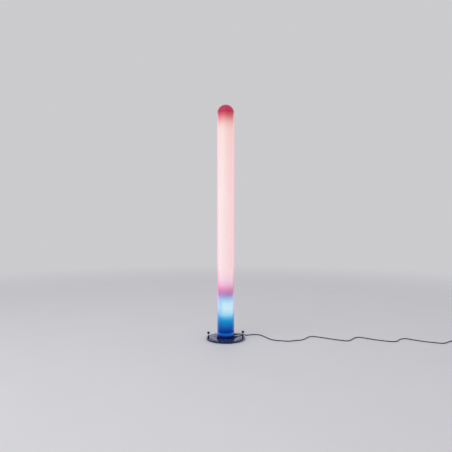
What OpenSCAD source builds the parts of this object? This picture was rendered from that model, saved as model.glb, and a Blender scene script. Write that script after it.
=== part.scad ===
// Colour-mixing floor lamp: a tall clear tube with a domed top round a ribbed diffuser, which holds
// three long lamps and three short ones. It stands on a dark drum in the middle of a round glass base.
// Millimetres, +Z up, +X to the right and -Y to the front. The origin is on the floor, on the lamp's axis.

/* [Base disc] */
// Diameter of the glass base
disc_d = 305; // [280:1:400]
// Thickness of the glass base
disc_t = 12; // [8:1:19]
// Bevel on both rims of the glass base
disc_bevel = 1.6; // [0.5:0.1:3]
// Diameter of the opening in the middle of the glass base
disc_hole_d = 100; // [98:1:108]
// Height of the rubber glides, which is the gap under the glass
glide_h = 3; // [2.6:0.1:6]
// Diameter of a rubber glide
glide_d = 18; // [10:1:26]
// Distance of the glides from the rim of the glass base
glide_reach = 22.5; // [16:0.5:56]

/* [Levelling screws] */
// Distance of the levelling screws from the rim of the glass base
level_reach = 15.5; // [12:0.5:32]
// Angle of the right levelling screw, counted from +X
level_turn = 6; // [0:1:12]
// Height of the threaded bush above the glass
bush_rise = 18; // [10:1:24]
// Diameter of the threaded bush above the glass
bush_d = 13; // [12:0.5:18]
// Diameter of the spindle
spindle_d = 8; // [6:0.5:9]
// Distance that the screw can be wound down
level_travel = 10; // [4:0.5:12]
// Diameter of the knob
knob_d = 20; // [14:0.5:24]
// Height of the knob
knob_h = 16; // [9:1:20]
// Diameter of the foot pad
pad_d = 22; // [14:1:28]

/* [Drum] */
// Height of the drum above the glass, its gasket counted in
drum_rise = 21; // [21:1:40]
// Wall of the drum
drum_wall = 2.5; // [1.5:0.1:3.5]
// Thickness of the top of the drum
drum_top_t = 3; // [2:0.5:4]
// Thickness of the gasket under the drum
gasket_t = 1; // [0.5:0.1:2]
// Distance of the disc bolts from the side of the drum
bolt_reach = 7.5; // [6.5:0.5:12.5]
// Thickness of the bolt lugs
lug_t = 4; // [3:0.5:8]
// Height of the spigot that centres the clear tube
spigot_h = 8; // [7:0.5:14]
// Diameter of the push button
button_d = 11; // [8:0.5:12]
// Travel of the push button
button_travel = 1.5; // [0.5:0.1:2]

/* [Clear tube] */
// Outer diameter of the clear tube and of the drum
tube_d = 135; // [132:1:138]
// Wall of the clear tube
tube_wall = 3; // [2:0.1:3.5]
// Distance from the rim of the diffuser down to the centre of the dome
dome_drop = 16.5; // [5:0.5:24]
// Thickness of the seal under the clear tube
seal_t = 1; // [0.5:0.1:2]

/* [Diffuser] */
// Outer diameter of the diffuser over its ribs
diffuser_d = 114; // [112:1:115]
// Wall of the diffuser at the bottom of its grooves
diffuser_wall = 2; // [1.5:0.1:2.2]
// Number of prism ribs round the diffuser
rib_count = 90; // [24:1:120]
// Depth of the grooves between the ribs
rib_depth = 0.7; // [0.3:0.1:1]
// Height of the light ring that carries the diffuser
ring_h = 24; // [23:1:60]
// Thickness of the cap on the diffuser
cap_t = 1.5; // [1:0.1:3]
// Rise of the cap in its middle
cap_rise = 4; // [2:0.5:12]

/* [Light engine] */
// Length of a long lamp between its end faces
long_lamp_l = 1449; // [849:1:1463]
// Length of a short lamp between its end faces
short_lamp_l = 136; // [100:1:212]
// Diameter of a lamp
lamp_d = 16; // [12:0.5:16]
// Distance of the lamps from the axis
lamp_reach = 37; // [36:0.5:40]
// Height of the lamp bracket above the light ring
bracket_rise = 115; // [70:1:180]
// Thickness of the bracket, the bulkhead and the top plate
plate_t = 3; // [2:0.5:4]
// Height of a lampholder
holder_h = 8; // [7.5:0.5:14]
// Diameter of the aluminium spine
spine_d = 44; // [43:0.5:45]
// Wall of the spine
spine_wall = 2; // [1.5:0.1:2.3]
// Length of one control gear unit inside the spine
gear_l = 360; // [200:1:420]

/* [Mains lead] */
// Diameter of the mains lead
cord_d = 7; // [6.6:0.1:7.2]
// Length of the tapered strain relief
relief_l = 38; // [30:1:45]
// Angle at which the lead leaves the drum, counted from +X
cord_turn = 32; // [28:1:36]

/* [Hidden] */
$fn = 96;

// Clearances
loose = 0.3;      // pieces that only lie beside each other
threaded = 0.1;   // a screw in its hole
running = 0.05;   // a shaft that turns or slides in its bore
slip = 0.7;       // a plate inside the diffuser that slides over it

// Levels, from the floor up
disc_z = glide_h;
disc_top = disc_z + disc_t;
drum_z = disc_top + gasket_t;
drum_top = disc_top + drum_rise;
drum_roof = drum_top - drum_top_t;
tube_z = drum_top + seal_t;
diffuser_z = drum_top + ring_h;
bracket_z = diffuser_z + bracket_rise;
short_lamp_z = bracket_z + plate_t + holder_h;
bulkhead_z = short_lamp_z + short_lamp_l + holder_h;
long_lamp_z = bulkhead_z + plate_t + holder_h;
top_plate_z = long_lamp_z + long_lamp_l + holder_h;
cap_lip = 3;
diffuser_top = top_plate_z + plate_t + cap_lip + loose;
dome_z = diffuser_top - dome_drop;
overall_h = dome_z + tube_d / 2;

// Radii
disc_r = disc_d / 2;
hole_r = disc_hole_d / 2;
tube_r = tube_d / 2;
tube_in = tube_r - tube_wall;
drum_in = tube_r - drum_wall;
diffuser_r = diffuser_d / 2;
diffuser_in = diffuser_r - rib_depth - diffuser_wall;
plate_r = diffuser_in - slip;
spine_r = spine_d / 2;
spine_in = spine_r - spine_wall;
hub_in = spine_r + threaded;
hub_r = spine_r + 4;
hub_h = 12;

// Glass base and drum fasteners
glide_axis = disc_r - glide_reach;
level_axis = disc_r - level_reach;
bolt_axis = tube_r + bolt_reach;
glide_angles = [45, 135, 225, 315];
bolt_angles = [90, 210, 330];
bolt_r = 2.5;
bolt_head_r = 4.25;
bolt_head_h = 4.5;
nut_h = glide_h - 0.8;
lug_r = 8;
cover_t = 2;
cover_r = hole_r + 8;
boss_angles = [90, 210, 330];
boss_r = 5;
boss_reach = 42;
screw_r = 2;
screw_head_r = 4;
screw_depth = 12;
ballast_r = hole_r - 0.5;
ballast_bore = 10;

// Tube screws
tube_screw_angles = [0, 120, 240];
tube_screw_z = drum_top + 4.5;
tube_screw_r = 2;
tube_screw_head_r = 3.5;
tube_screw_head_t = 2;
spigot_r = tube_in - loose;
spigot_in = diffuser_r + 1.2;

// Light engine
foot_flange_r = hub_r + 6;
foot_flange_t = 4;
foot_hub_h = 20;
foot_screw_r = 1.5;
foot_screw_head_r = 2.6;
foot_screw_reach = hub_r + 3;
foot_angles = [30, 150, 270];
hub_screw_angles = [120, 300];
hub_screw_r = 2;
long_lamp_angles = [210, 330, 90];
short_lamp_angles = [180, 300, 60];
holder_size = [20, 18];
lamp_r = lamp_d / 2;
lamp_cap_l = 12;
lamp_cap_over = 0.3;
lamp_pin_r = 1.2;
lamp_pin_l = 7;
lamp_pin_gap = 5;
lamp_glass = 0.8;
port_r = 3;
rail_w = 26;
rail_t = 2;
rail_y = -12.5;
gear_w = 26;
gear_deep = 18;
gear_count = 3;
wire_r = 1.5;
wire_places = [[-5, 11.5], [0, 13], [5, 11.5]];
wire_hole_r = 8;
wire_hole_y = 11;

// Electronics in the drum
board_low = [-36, -14.5];
board_size = [46, 38];
board_t = 1.6;
pillar_r = 2.5;
pillar_h = 3.5;
pillar_inset = 4;
board_z = disc_top + pillar_h;
board_plug_size = [18, 12];
board_plug_h = 7;
chip_size = [6, 12, 5];
chip_step = 9;
chip_inset = 6;
terminal_size = [16, 24, 15];
terminal_reach = 28;
button_turn = 120;
button_z = (drum_z + drum_roof) / 2;
button_proud = 2.5;
button_flange = 1;
button_flange_t = 1.5;
button_back = drum_in - 2.3;
switch_deep = 9.2;
switch_w = 15;

// Mains lead
cord_r = cord_d / 2;
cord_z = (disc_top + drum_top) / 2 + 0.5;
gland_r = 8.5;
gland_thread_r = 5.5;
gland_nut_r = 7.8;
gland_nut_t = 3;
gland_flange_t = 3;
relief_start = tube_r + gland_flange_t;
relief_end = relief_start + relief_l;
relief_r = 7;
relief_tip_r = cord_r + 1.2;
cord_sides = 10;

// Route of the lead from the strain relief over the rim of the base and across the floor
cord_start = [relief_end * cos(cord_turn), relief_end * sin(cord_turn), cord_z];
cord_fall = [[127.3, 24], [148.5, 20.2], [172.5, 13], [193.7, 5.5]];
cord_points = concat([cord_start],
    [for (p = cord_fall) [p[0] * cos(cord_turn), p[0] * sin(cord_turn), p[1]]], [
    [182, 112, 3.5], [215, 125, 3.5], [256, 126, 3.5], [290, 100, 3.5], [318, 46, 3.5],
    [345, -9, 3.5], [372, -42, 3.5], [415, -63, 3.5], [490, -79, 3.5], [545, -58, 3.5],
    [592, -44, 3.5], [628, -6, 3.5], [662, 45, 3.5], [700, 66, 3.5], [745, 46, 3.5],
    [790, 17, 3.5], [840, -19, 3.5], [890, -48, 3.5], [945, -70, 3.5], [985, -38, 3.5],
    [1020, 12, 3.5], [1060, 40, 3.5], [1100, 22, 3.5], [1150, -20, 3.5], [1205, -56, 3.5],
    [1270, -88, 3.5], [1320, -84, 3.5], [1350, -50, 3.5], [1385, -13, 3.5], [1430, -4, 3.5],
    [1470, -42, 3.5], [1535, -90, 3.5], [1600, -123, 3.5], [1652, -142, 3.5], [1700, -112, 3.5],
    [1740, -80, 3.5], [1772, -70, 4], [1798, -70, 4.4]]);

// Coil of the rest of the lead, wound in on the floor and out again on top of that
coil_turns = 3;
coil_steps = 24;
coil_sides = 6;
coil_pitch = 7.6;
coil_out = 46;
coil_end = cord_points[len(cord_points) - 1];
coil_straight = 7;
coil_x = coil_end[0] + coil_straight;
coil_y = coil_end[1] - coil_out;
coil_z = coil_end[2];
coil_climb = 0.25;

// Plug
plug_z = 19;
plug_x = coil_x + 55;
plug_y = coil_end[1];
plug_neck_l = 20;
plug_body_r = 19;
plug_body_l = 32;
plug_pin_r = 2.4;
plug_pin_l = 19;
plug_pin_gap = 19;

// A plain round disc between two levels
module slab(r, low, high) {
    translate([0, 0, low]) cylinder(r = r, h = high - low);
}

// A round ring between two levels
module ring(r_out, r_in, low, high) {
    difference() {
        slab(r_out, low, high);
        slab(r_in, low - 1, high + 1);
    }
}

// Copies of a shape at the given angles and distance from the axis
module around(angles, reach = 0) {
    for (a = angles) rotate([0, 0, a]) translate([reach, 0, 0]) children();
}

// A cylinder that points away from the axis, between two distances from it
module radial(angle, z, r, from, to) {
    rotate([0, 0, angle]) translate([from, 0, z]) rotate([0, 90, 0]) cylinder(r = r, h = to - from);
}

// Places a shape at one levelling screw: 0 is the right one, 180 the left one
module at_level(side) {
    rotate([0, 0, level_turn + side]) translate([level_axis, 0, 0]) children();
}

// Glass base
module base_disc() {
    color([0.62, 0.66, 0.85, 0.45]) difference() {
        rotate_extrude($fn = 180) polygon([
            [hole_r, disc_z], [disc_r - disc_bevel, disc_z], [disc_r, disc_z + disc_bevel],
            [disc_r, disc_top - disc_bevel], [disc_r - disc_bevel, disc_top], [hole_r, disc_top]]);
        around(bolt_angles, bolt_axis) slab(bolt_r + 0.5, disc_z - 1, disc_top + 1);
        for (side = [0, 180]) at_level(side) slab(bush_stem_r() + threaded, disc_z - 1, disc_top + 1);
    }
}

module glides() {
    color([0.08, 0.08, 0.1]) around(glide_angles, glide_axis) {
        cylinder(r1 = glide_d / 2 - 0.8, r2 = glide_d / 2, h = 0.8);
        slab(glide_d / 2, 0.8, glide_h);
    }
}

module bottom_cover() {
    color([0.1, 0.1, 0.13]) difference() {
        slab(cover_r, disc_z - cover_t, disc_z);
        around(boss_angles, boss_reach) translate([0, 0, disc_z - cover_t - 0.01])
            cylinder(r1 = screw_head_r + threaded, r2 = screw_r + threaded, h = cover_t + 0.02);
    }
}

module ballast_weight() {
    color([0.45, 0.46, 0.5]) difference() {
        ring(ballast_r, ballast_bore, disc_z, disc_top);
        around(boss_angles, boss_reach) slab(screw_r + loose, disc_z - 1, disc_top + 1);
    }
}

module disc_bolts() {
    color([0.09, 0.08, 0.14]) around(bolt_angles, bolt_axis) difference() {
        union() {
            slab(bolt_r, disc_z - nut_h, drum_z + lug_t);
            slab(bolt_head_r, drum_z + lug_t, drum_z + lug_t + bolt_head_h);
        }
        translate([0, 0, drum_z + lug_t + bolt_head_h - 2.5]) cylinder(r = 2.3, h = 3, $fn = 6);
    }
}

module disc_nuts() {
    color([0.5, 0.5, 0.54]) around(bolt_angles, bolt_axis) difference() {
        translate([0, 0, disc_z - nut_h]) cylinder(r = 4.6, h = nut_h, $fn = 6);
        slab(bolt_r + threaded, disc_z - nut_h - 1, disc_z + 1);
    }
}

// Outline of the drum's foot with its three bolt lugs
module drum_foot() {
    circle(r = tube_r);
    around(bolt_angles) {
        translate([bolt_axis, 0]) circle(r = lug_r);
        translate([drum_in, -lug_r]) square([bolt_axis - drum_in, 2 * lug_r]);
    }
}

module drum_housing() {
    color([0.03, 0.05, 0.2]) difference() {
        union() {
            difference() {
                union() {
                    slab(tube_r, drum_z, drum_top);
                    translate([0, 0, drum_z]) linear_extrude(lug_t) drum_foot();
                    ring(spigot_r, spigot_in, drum_top, drum_top + spigot_h);
                }
                slab(drum_in, drum_z - 1, drum_roof);
            }
            around(boss_angles, boss_reach) slab(boss_r, disc_top, drum_roof + 0.5);
        }
        around(boss_angles, boss_reach) slab(screw_r + threaded, disc_top - 1, disc_top + screw_depth + 1);
        around(bolt_angles, bolt_axis) slab(bolt_r + threaded, drum_z - 1, drum_top);
        around(foot_angles, foot_screw_reach) slab(foot_screw_r + threaded, drum_roof - 1, drum_top + 1);
        for (a = tube_screw_angles) radial(a, tube_screw_z, tube_screw_r + threaded, spigot_in - 1, tube_r);
        translate([0, wire_hole_y, 0]) slab(wire_hole_r, drum_roof - 1, drum_top + 1);
        radial(cord_turn, cord_z, gland_thread_r + threaded, drum_in - 5, tube_r + 1);
        radial(button_turn, button_z, button_d / 2 + running, drum_in - 5, tube_r + 1);
    }
}

module drum_gasket() {
    color([0.06, 0.06, 0.08]) translate([0, 0, disc_top]) linear_extrude(gasket_t) difference() {
        drum_foot();
        circle(r = drum_in - 2);
        around(bolt_angles, bolt_axis) circle(r = bolt_r + threaded);
    }
}

module drum_screws() {
    color([0.5, 0.5, 0.54]) around(boss_angles, boss_reach) {
        translate([0, 0, disc_z - cover_t]) cylinder(r1 = screw_head_r, r2 = screw_r, h = cover_t);
        slab(screw_r, disc_z, disc_top + screw_depth);
    }
}

module tube_seal() {
    color([0.05, 0.05, 0.07]) ring(tube_r, spigot_r + threaded, drum_top, tube_z);
}

module tube_screws() {
    color([0.07, 0.05, 0.12]) for (a = tube_screw_angles) {
        radial(a, tube_screw_z, tube_screw_r, spigot_in + 0.5, tube_r + 0.2);
        radial(a, tube_screw_z, tube_screw_head_r, tube_r + 0.2, tube_r + 0.2 + tube_screw_head_t);
    }
}

// Clear tube with its domed top in one piece
module outer_tube() {
    color([1, 0.85, 0.9, 0.3]) difference() {
        union() {
            slab(tube_r, tube_z, dome_z);
            intersection() {
                translate([0, 0, dome_z]) sphere(r = tube_r);
                slab(tube_r + 1, dome_z - 0.01, overall_h + 1);
            }
        }
        slab(tube_in, tube_z - 1, dome_z);
        intersection() {
            translate([0, 0, dome_z]) sphere(r = tube_in);
            slab(tube_r + 1, dome_z - 0.01, overall_h + 1);
        }
        for (a = tube_screw_angles) radial(a, tube_screw_z, tube_screw_r + loose, tube_in - 2, tube_r + 2);
    }
}

// Translucent ring between the drum and the diffuser, with a lip that centres the diffuser
module light_ring() {
    color([0.25, 0.55, 0.85]) {
        ring(diffuser_r, diffuser_in - 2.2, drum_top, diffuser_z);
        ring(diffuser_in - threaded, diffuser_in - 2.2, diffuser_z - 0.01, diffuser_z + 4);
    }
}

// Diffuser with prism ribs down its whole outer face and a flat behind each of them
module inner_diffuser() {
    outline = [for (i = [0 : 2 * rib_count - 1])
        let (a = 180 * i / rib_count, r = diffuser_r - (i % 2) * rib_depth) [r * cos(a), r * sin(a)]];
    bore_r = diffuser_in / cos(180 / rib_count);
    bore = [for (i = [0 : rib_count - 1]) let (a = 360 * i / rib_count) [bore_r * cos(a), bore_r * sin(a)]];
    color([1, 0.88, 0.88]) translate([0, 0, diffuser_z]) linear_extrude(diffuser_top - diffuser_z)
        difference() {
            polygon(outline);
            polygon(bore);
        }
}

// Cap on the diffuser: a shallow dome with a lip inside the rim
module diffuser_cap() {
    rim = diffuser_r - rib_depth;
    rise_r = (rim * rim + cap_rise * cap_rise) / (2 * cap_rise);
    color([0.85, 0.4, 0.5]) {
        slab(rim, diffuser_top, diffuser_top + cap_t);
        intersection() {
            translate([0, 0, diffuser_top + cap_t + cap_rise - rise_r]) sphere(r = rise_r, $fn = 360);
            slab(rim, diffuser_top + cap_t - 0.01, diffuser_top + cap_t + cap_rise + 1);
        }
        ring(diffuser_in - threaded, diffuser_in - 2.2, diffuser_top - cap_lip, diffuser_top + 0.01);
    }
}

// Round aluminium tube that carries the light engine, with ports for the wires
module spine() {
    color([0.8, 0.82, 0.85]) difference() {
        ring(spine_r, spine_in, drum_top, top_plate_z);
        for (z = [bracket_z, bulkhead_z, top_plate_z]) for (a = boss_angles)
            radial(a, z - hub_h - 2 * port_r, port_r, spine_in - 2, spine_r + 1);
    }
}

// Hub that grips the spine, with its two grub screw holes
module hub(low, high) {
    difference() {
        ring(hub_r, hub_in, low, high);
        for (a = hub_screw_angles) radial(a, low + 5, hub_screw_r + threaded, spine_in, hub_r + 1);
    }
}

module spine_foot() {
    color([0.75, 0.77, 0.8]) {
        difference() {
            ring(foot_flange_r, hub_in, drum_top, drum_top + foot_flange_t);
            around(foot_angles, foot_screw_reach)
                slab(foot_screw_r + threaded, drum_top - 1, drum_top + foot_flange_t + 1);
        }
        hub(drum_top + foot_flange_t - 0.01, drum_top + foot_hub_h);
    }
}

module foot_screws() {
    color([0.5, 0.5, 0.54]) around(foot_angles, foot_screw_reach) {
        slab(foot_screw_r, drum_roof, drum_top + foot_flange_t);
        slab(foot_screw_head_r, drum_top + foot_flange_t, drum_top + foot_flange_t + 2.4);
    }
}

module hub_screws() {
    foot_low = drum_top + foot_flange_t - 0.01;
    color([0.3, 0.3, 0.33]) for (low = [foot_low, bracket_z - hub_h, bulkhead_z - hub_h, top_plate_z - hub_h])
        for (a = hub_screw_angles) radial(a, low + 5, hub_screw_r, spine_r + 0.1, hub_r);
}

// Three-armed bracket under the short lamps
module lamp_bracket() {
    color([0.93, 0.93, 0.95]) {
        translate([0, 0, bracket_z]) linear_extrude(plate_t) difference() {
            union() {
                circle(r = hub_r);
                around(short_lamp_angles) translate([spine_r, -holder_size[1] / 2])
                    square([lamp_reach + holder_size[0] / 2 - spine_r, holder_size[1]]);
            }
            circle(r = hub_in);
        }
        hub(bracket_z - hub_h, bracket_z + 0.01);
    }
}

// White plate between the upper and the lower light
module bulkhead() {
    color([0.93, 0.93, 0.95]) {
        ring(plate_r, hub_in, bulkhead_z, bulkhead_z + plate_t);
        hub(bulkhead_z - hub_h, bulkhead_z + 0.01);
    }
}

module top_plate() {
    color([0.93, 0.93, 0.95]) {
        slab(plate_r, top_plate_z, top_plate_z + plate_t);
        hub(top_plate_z - hub_h, top_plate_z + 0.01);
    }
}

// Lampholders at the given angles, each a block with a slot for the lamp's two pins
module lampholders(angles, low) {
    color([0.95, 0.95, 0.95]) around(angles, lamp_reach) difference() {
        translate([-holder_size[0] / 2, -holder_size[1] / 2, low])
            cube([holder_size[0], holder_size[1], holder_h]);
        translate([-1.5, -lamp_pin_gap / 2 - 2, low - 1]) cube([3, lamp_pin_gap + 4, holder_h + 2]);
    }
}

module lampholders_low() { lampholders(short_lamp_angles, bracket_z + plate_t); }
module lampholders_mid() { lampholders(short_lamp_angles, bulkhead_z - holder_h); }
module lampholders_base() { lampholders(long_lamp_angles, bulkhead_z + plate_t); }
module lampholders_top() { lampholders(long_lamp_angles, top_plate_z - holder_h); }

// Glass of one lamp, open at the ends that its caps close
module lamp_glass_tube(angle, low, length) {
    around([angle], lamp_reach) ring(lamp_r, lamp_r - lamp_glass, low + lamp_cap_l, low + length - lamp_cap_l);
}

// Both end caps of one lamp, with two contact pins each
module lamp_cap_pair(angle, low, length) {
    around([angle], lamp_reach) for (end = [0, 1]) {
        face = low + end * length;
        cap_low = end == 0 ? face : face - lamp_cap_l;
        pin_low = end == 0 ? face - lamp_pin_l : face - 0.01;
        slab(lamp_r + lamp_cap_over, cap_low, cap_low + lamp_cap_l);
        for (side = [-1, 1]) translate([0, side * lamp_pin_gap / 2, 0])
            slab(lamp_pin_r, pin_low, pin_low + lamp_pin_l + 0.01);
    }
}

module green_lamp() { color([0.5, 1, 0.6]) lamp_glass_tube(long_lamp_angles[0], long_lamp_z, long_lamp_l); }
module red_lamp() { color([1, 0.4, 0.45]) lamp_glass_tube(long_lamp_angles[1], long_lamp_z, long_lamp_l); }
module blue_lamp() { color([0.5, 0.6, 1]) lamp_glass_tube(long_lamp_angles[2], long_lamp_z, long_lamp_l); }

module long_lamp_caps() {
    color([0.8, 0.8, 0.8]) for (a = long_lamp_angles) lamp_cap_pair(a, long_lamp_z, long_lamp_l);
}

module short_lamps() {
    color([0.55, 0.8, 1]) for (a = short_lamp_angles) lamp_glass_tube(a, short_lamp_z, short_lamp_l);
}

module short_lamp_caps() {
    color([0.8, 0.8, 0.8]) for (a = short_lamp_angles) lamp_cap_pair(a, short_lamp_z, short_lamp_l);
}

// Strip inside the spine that carries the control gear
module mounting_rail() {
    color([0.7, 0.7, 0.72]) translate([-rail_w / 2, rail_y, drum_top])
        cube([rail_w, rail_t, top_plate_z - drum_top]);
}

// Control gear, one unit for each colour, spread evenly over the rail
module gear_units() {
    room = top_plate_z - bulkhead_z;
    color([0.9, 0.9, 0.88]) for (i = [0 : gear_count - 1])
        translate([-gear_w / 2, rail_y + rail_t, bulkhead_z + (i + 0.5) * room / gear_count - gear_l / 2])
            cube([gear_w, gear_deep, gear_l]);
}

// Three wires, from the plug on the control board up the spine
module wiring_loom() {
    colors = [[0.8, 0.1, 0.1], [0.1, 0.6, 0.2], [0.1, 0.2, 0.7]];
    for (i = [0 : 2]) color(colors[i]) translate(wire_places[i])
        slab(wire_r, board_plug_top(), top_plate_z - hub_h);
}

module control_board() {
    face = board_z + board_t - 0.01;
    color([0.1, 0.4, 0.2]) {
        translate([board_low[0], board_low[1], board_z]) cube([board_size[0], board_size[1], board_t]);
        translate([-board_plug_size[0] / 2, wire_places[0][1] + 1 - board_plug_size[1] / 2, face])
            cube([board_plug_size[0], board_plug_size[1], board_plug_h + 0.01]);
        for (i = [0 : 2])
            translate([board_low[0] + chip_inset + i * chip_step, board_low[1] + chip_inset, face])
                cube(chip_size);
    }
}

module board_pillars() {
    color([0.7, 0.6, 0.3]) for (x = [pillar_inset, board_size[0] - pillar_inset])
        for (y = [pillar_inset, board_size[1] - pillar_inset])
            translate([board_low[0] + x, board_low[1] + y, 0]) slab(pillar_r, disc_top, board_z);
}

module terminal_block() {
    color([0.92, 0.92, 0.9]) rotate([0, 0, cord_turn])
        translate([terminal_reach, -terminal_size[1] / 2, disc_top]) difference() {
            cube(terminal_size);
            for (i = [0 : 2]) translate([terminal_size[0] / 2, (i + 0.5) * terminal_size[1] / 3, terminal_size[2] - 4])
                cylinder(r = 2, h = 5);
        }
}

// Switch behind the push button, with two ears that reach the wall
module button_switch() {
    face = button_back - button_travel - loose;
    ear_end = sqrt(drum_in * drum_in - (switch_w / 2 + 2.5) * (switch_w / 2 + 2.5)) - threaded;
    ear_z = drum_z + loose;
    high = drum_roof - 0.5;
    color([0.15, 0.15, 0.17]) rotate([0, 0, button_turn]) {
        translate([face - switch_deep, -switch_w / 2, disc_top]) cube([switch_deep, switch_w, high - disc_top]);
        for (side = [-1, 1]) translate([face - 2, side > 0 ? switch_w / 2 - 0.01 : -switch_w / 2 - 2.49, ear_z])
            cube([ear_end - face + 2, 2.5, high - ear_z]);
    }
}

module control_button() {
    color([0.2, 0.2, 0.24]) {
        radial(button_turn, button_z, button_d / 2, button_back, tube_r + button_proud);
        radial(button_turn, button_z, button_d / 2 + button_flange, button_back, button_back + button_flange_t);
    }
}

// Cord gland: a flange outside the wall and a threaded shank through it
module cord_gland() {
    color([0.05, 0.05, 0.08]) difference() {
        union() {
            radial(cord_turn, cord_z, gland_r, tube_r, tube_r + gland_flange_t);
            radial(cord_turn, cord_z, gland_thread_r, drum_in - 5, tube_r + 1);
        }
        radial(cord_turn, cord_z, cord_r + threaded, drum_in - 6, tube_r + gland_flange_t + 1);
    }
}

module gland_nut() {
    face = sqrt(drum_in * drum_in - gland_nut_r * gland_nut_r) - threaded;
    color([0.6, 0.6, 0.62]) difference() {
        rotate([0, 0, cord_turn]) translate([face - gland_nut_t, 0, cord_z]) rotate([0, 90, 0])
            rotate([0, 0, 30]) cylinder(r = gland_nut_r, h = gland_nut_t, $fn = 6);
        radial(cord_turn, cord_z, gland_thread_r + threaded, face - gland_nut_t - 1, face + 1);
    }
}

// Tapered strain relief with three flex grooves
module strain_relief() {
    color([0.04, 0.04, 0.07]) difference() {
        rotate([0, 0, cord_turn]) translate([relief_start, 0, cord_z]) rotate([0, 90, 0])
            cylinder(r1 = relief_r, r2 = relief_tip_r, h = relief_l);
        radial(cord_turn, cord_z, cord_r + threaded, relief_start - 1, relief_end + 1);
        for (i = [1 : 3]) rotate([0, 0, cord_turn]) translate([relief_start + i * relief_l / 4, 0, cord_z])
            rotate([0, 90, 0]) ring(relief_r + 1, cord_r + 0.8, -0.8, 0.8);
    }
}

// The lead inside the drum, from the terminal block to the tip of the strain relief
module cord_entry() {
    color([0.05, 0.03, 0.1]) radial(cord_turn, cord_z, cord_r, terminal_reach + terminal_size[0], relief_end);
}

// A point on the smooth curve through four route points, a share t of the way from b to c
function between(a, b, c, d, t) =
    0.5 * (2 * b + (c - a) * t + (2 * a - 5 * b + 4 * c - d) * t * t + (3 * b - a - 3 * c + d) * t * t * t);
function unit(v) = v / norm(v);
function kept_up(p) = [p[0], p[1], max(p[2], cord_r)];

// The route with one more point halfway along each stretch
function smooth(route) = let (last = len(route) - 1) [for (i = [0 : 2 * last])
    let (k = min(floor(i / 2), last - 1), t = i / 2 - k)
    kept_up(between(route[max(k - 1, 0)], route[k], route[k + 1], route[min(k + 2, last)], t))];

// One ring of a tube round the route's point i, square to the route there
function tube_ring(route, i, r, sides, first, final) = let (
    last = len(route) - 1,
    way = i == 0 ? first : i == last ? final : unit(route[i + 1] - route[i - 1]),
    side = unit(cross([0, 0, 1], way)), up = cross(way, side))
    [for (k = [0 : sides - 1]) let (a = 360 * k / sides - 90) route[i] + r * (cos(a) * side + sin(a) * up)];

// A closed tube of triangles along a route, which starts and ends in the given directions
module tube_along(route, r, sides, first, final) {
    last = len(route) - 1;
    points = [for (i = [0 : last]) each tube_ring(route, i, r, sides, first, final)];
    walls = [for (i = [0 : last - 1]) for (k = [0 : sides - 1]) let (
        a = i * sides + k, b = i * sides + (k + 1) % sides, c = a + sides, d = b + sides)
        each [[a, c, d], [a, d, b]]];
    near_end = [for (k = [1 : sides - 2]) [0, k, k + 1]];
    far_end = [for (k = [1 : sides - 2]) [last * sides, last * sides + k + 1, last * sides + k]];
    polyhedron(points = points, faces = concat(walls, near_end, far_end));
}

function route_length(route) = len(route) < 2 ? 0 :
    [for (i = [1 : len(route) - 1]) 1] * [for (i = [1 : len(route) - 1]) norm(route[i] - route[i - 1])];

cord_route = smooth(cord_points);
cord_out = [cos(cord_turn), sin(cord_turn), 0];
module cord_run() {
    echo(cord_run_mm = route_length(cord_route));
    color([0.05, 0.03, 0.1]) tube_along(cord_route, cord_r, cord_sides, cord_out, [1, 0, 0]);
}

// Point t turns along the coil: it winds in for half its turns and out for the rest, a layer higher
function coil_point(t) = let (
    half = coil_turns / 2,
    reach = coil_out - coil_pitch * (t < half ? t : coil_turns - t),
    climb = max(0, min(1, (t - half + coil_climb) / (2 * coil_climb))))
    [coil_x + reach * sin(360 * t), coil_y + reach * cos(360 * t), coil_z + coil_pitch * climb];
coil_route = concat(
    [coil_end],
    [for (i = [0 : coil_turns * coil_steps]) coil_point(i / coil_steps)],
    [coil_point(coil_turns) + [coil_straight, 0, 0]]);

// The least distance between points of the coil that are more than half a turn apart
function coil_nearest() = min([for (i = [0 : coil_turns * coil_steps])
    for (j = [i + coil_steps / 2 : coil_turns * coil_steps])
        norm(coil_point(i / coil_steps) - coil_point(j / coil_steps))]);

module cord_coil() {
    echo(coil_gap_mm = coil_nearest() - cord_d, coil_mm = route_length(coil_route));
    color([0.05, 0.03, 0.1]) tube_along(coil_route, cord_r, coil_sides, [1, 0, 0], [1, 0, 0]);
}

tail_start = coil_route[len(coil_route) - 1];
tail_end = [plug_x, plug_y, plug_z];
tail_route = [for (i = [0 : 6]) let (t = i / 6, s = t * t * (3 - 2 * t))
    [tail_start[0] + t * (tail_end[0] - tail_start[0]), plug_y, tail_start[2] + s * (plug_z - tail_start[2])]];
module cord_tail() {
    echo(cord_tail_mm = route_length(tail_route));
    color([0.05, 0.03, 0.1]) tube_along(tail_route, cord_r, cord_sides, [1, 0, 0], [1, 0, 0]);
}

// Strap round the turns of the coil, on the side away from the lead's ends
module coil_tie() {
    strap = [0.8, 5];
    low = coil_z - cord_r - 0.1;
    high = coil_z + coil_pitch + cord_r + 0.1;
    inner = coil_out - coil_pitch * coil_turns / 2 - cord_r - 0.4;
    outer = coil_out - coil_pitch / 2 + cord_r + 0.4;
    color([0.02, 0.02, 0.03]) translate([coil_x - strap[1] / 2, coil_y - outer - strap[0], low - strap[0]])
        difference() {
            cube([strap[1], outer - inner + 2 * strap[0], high - low + 2 * strap[0]]);
            translate([-1, strap[0], strap[0]]) cube([strap[1] + 2, outer - inner, high - low]);
        }
}

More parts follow.
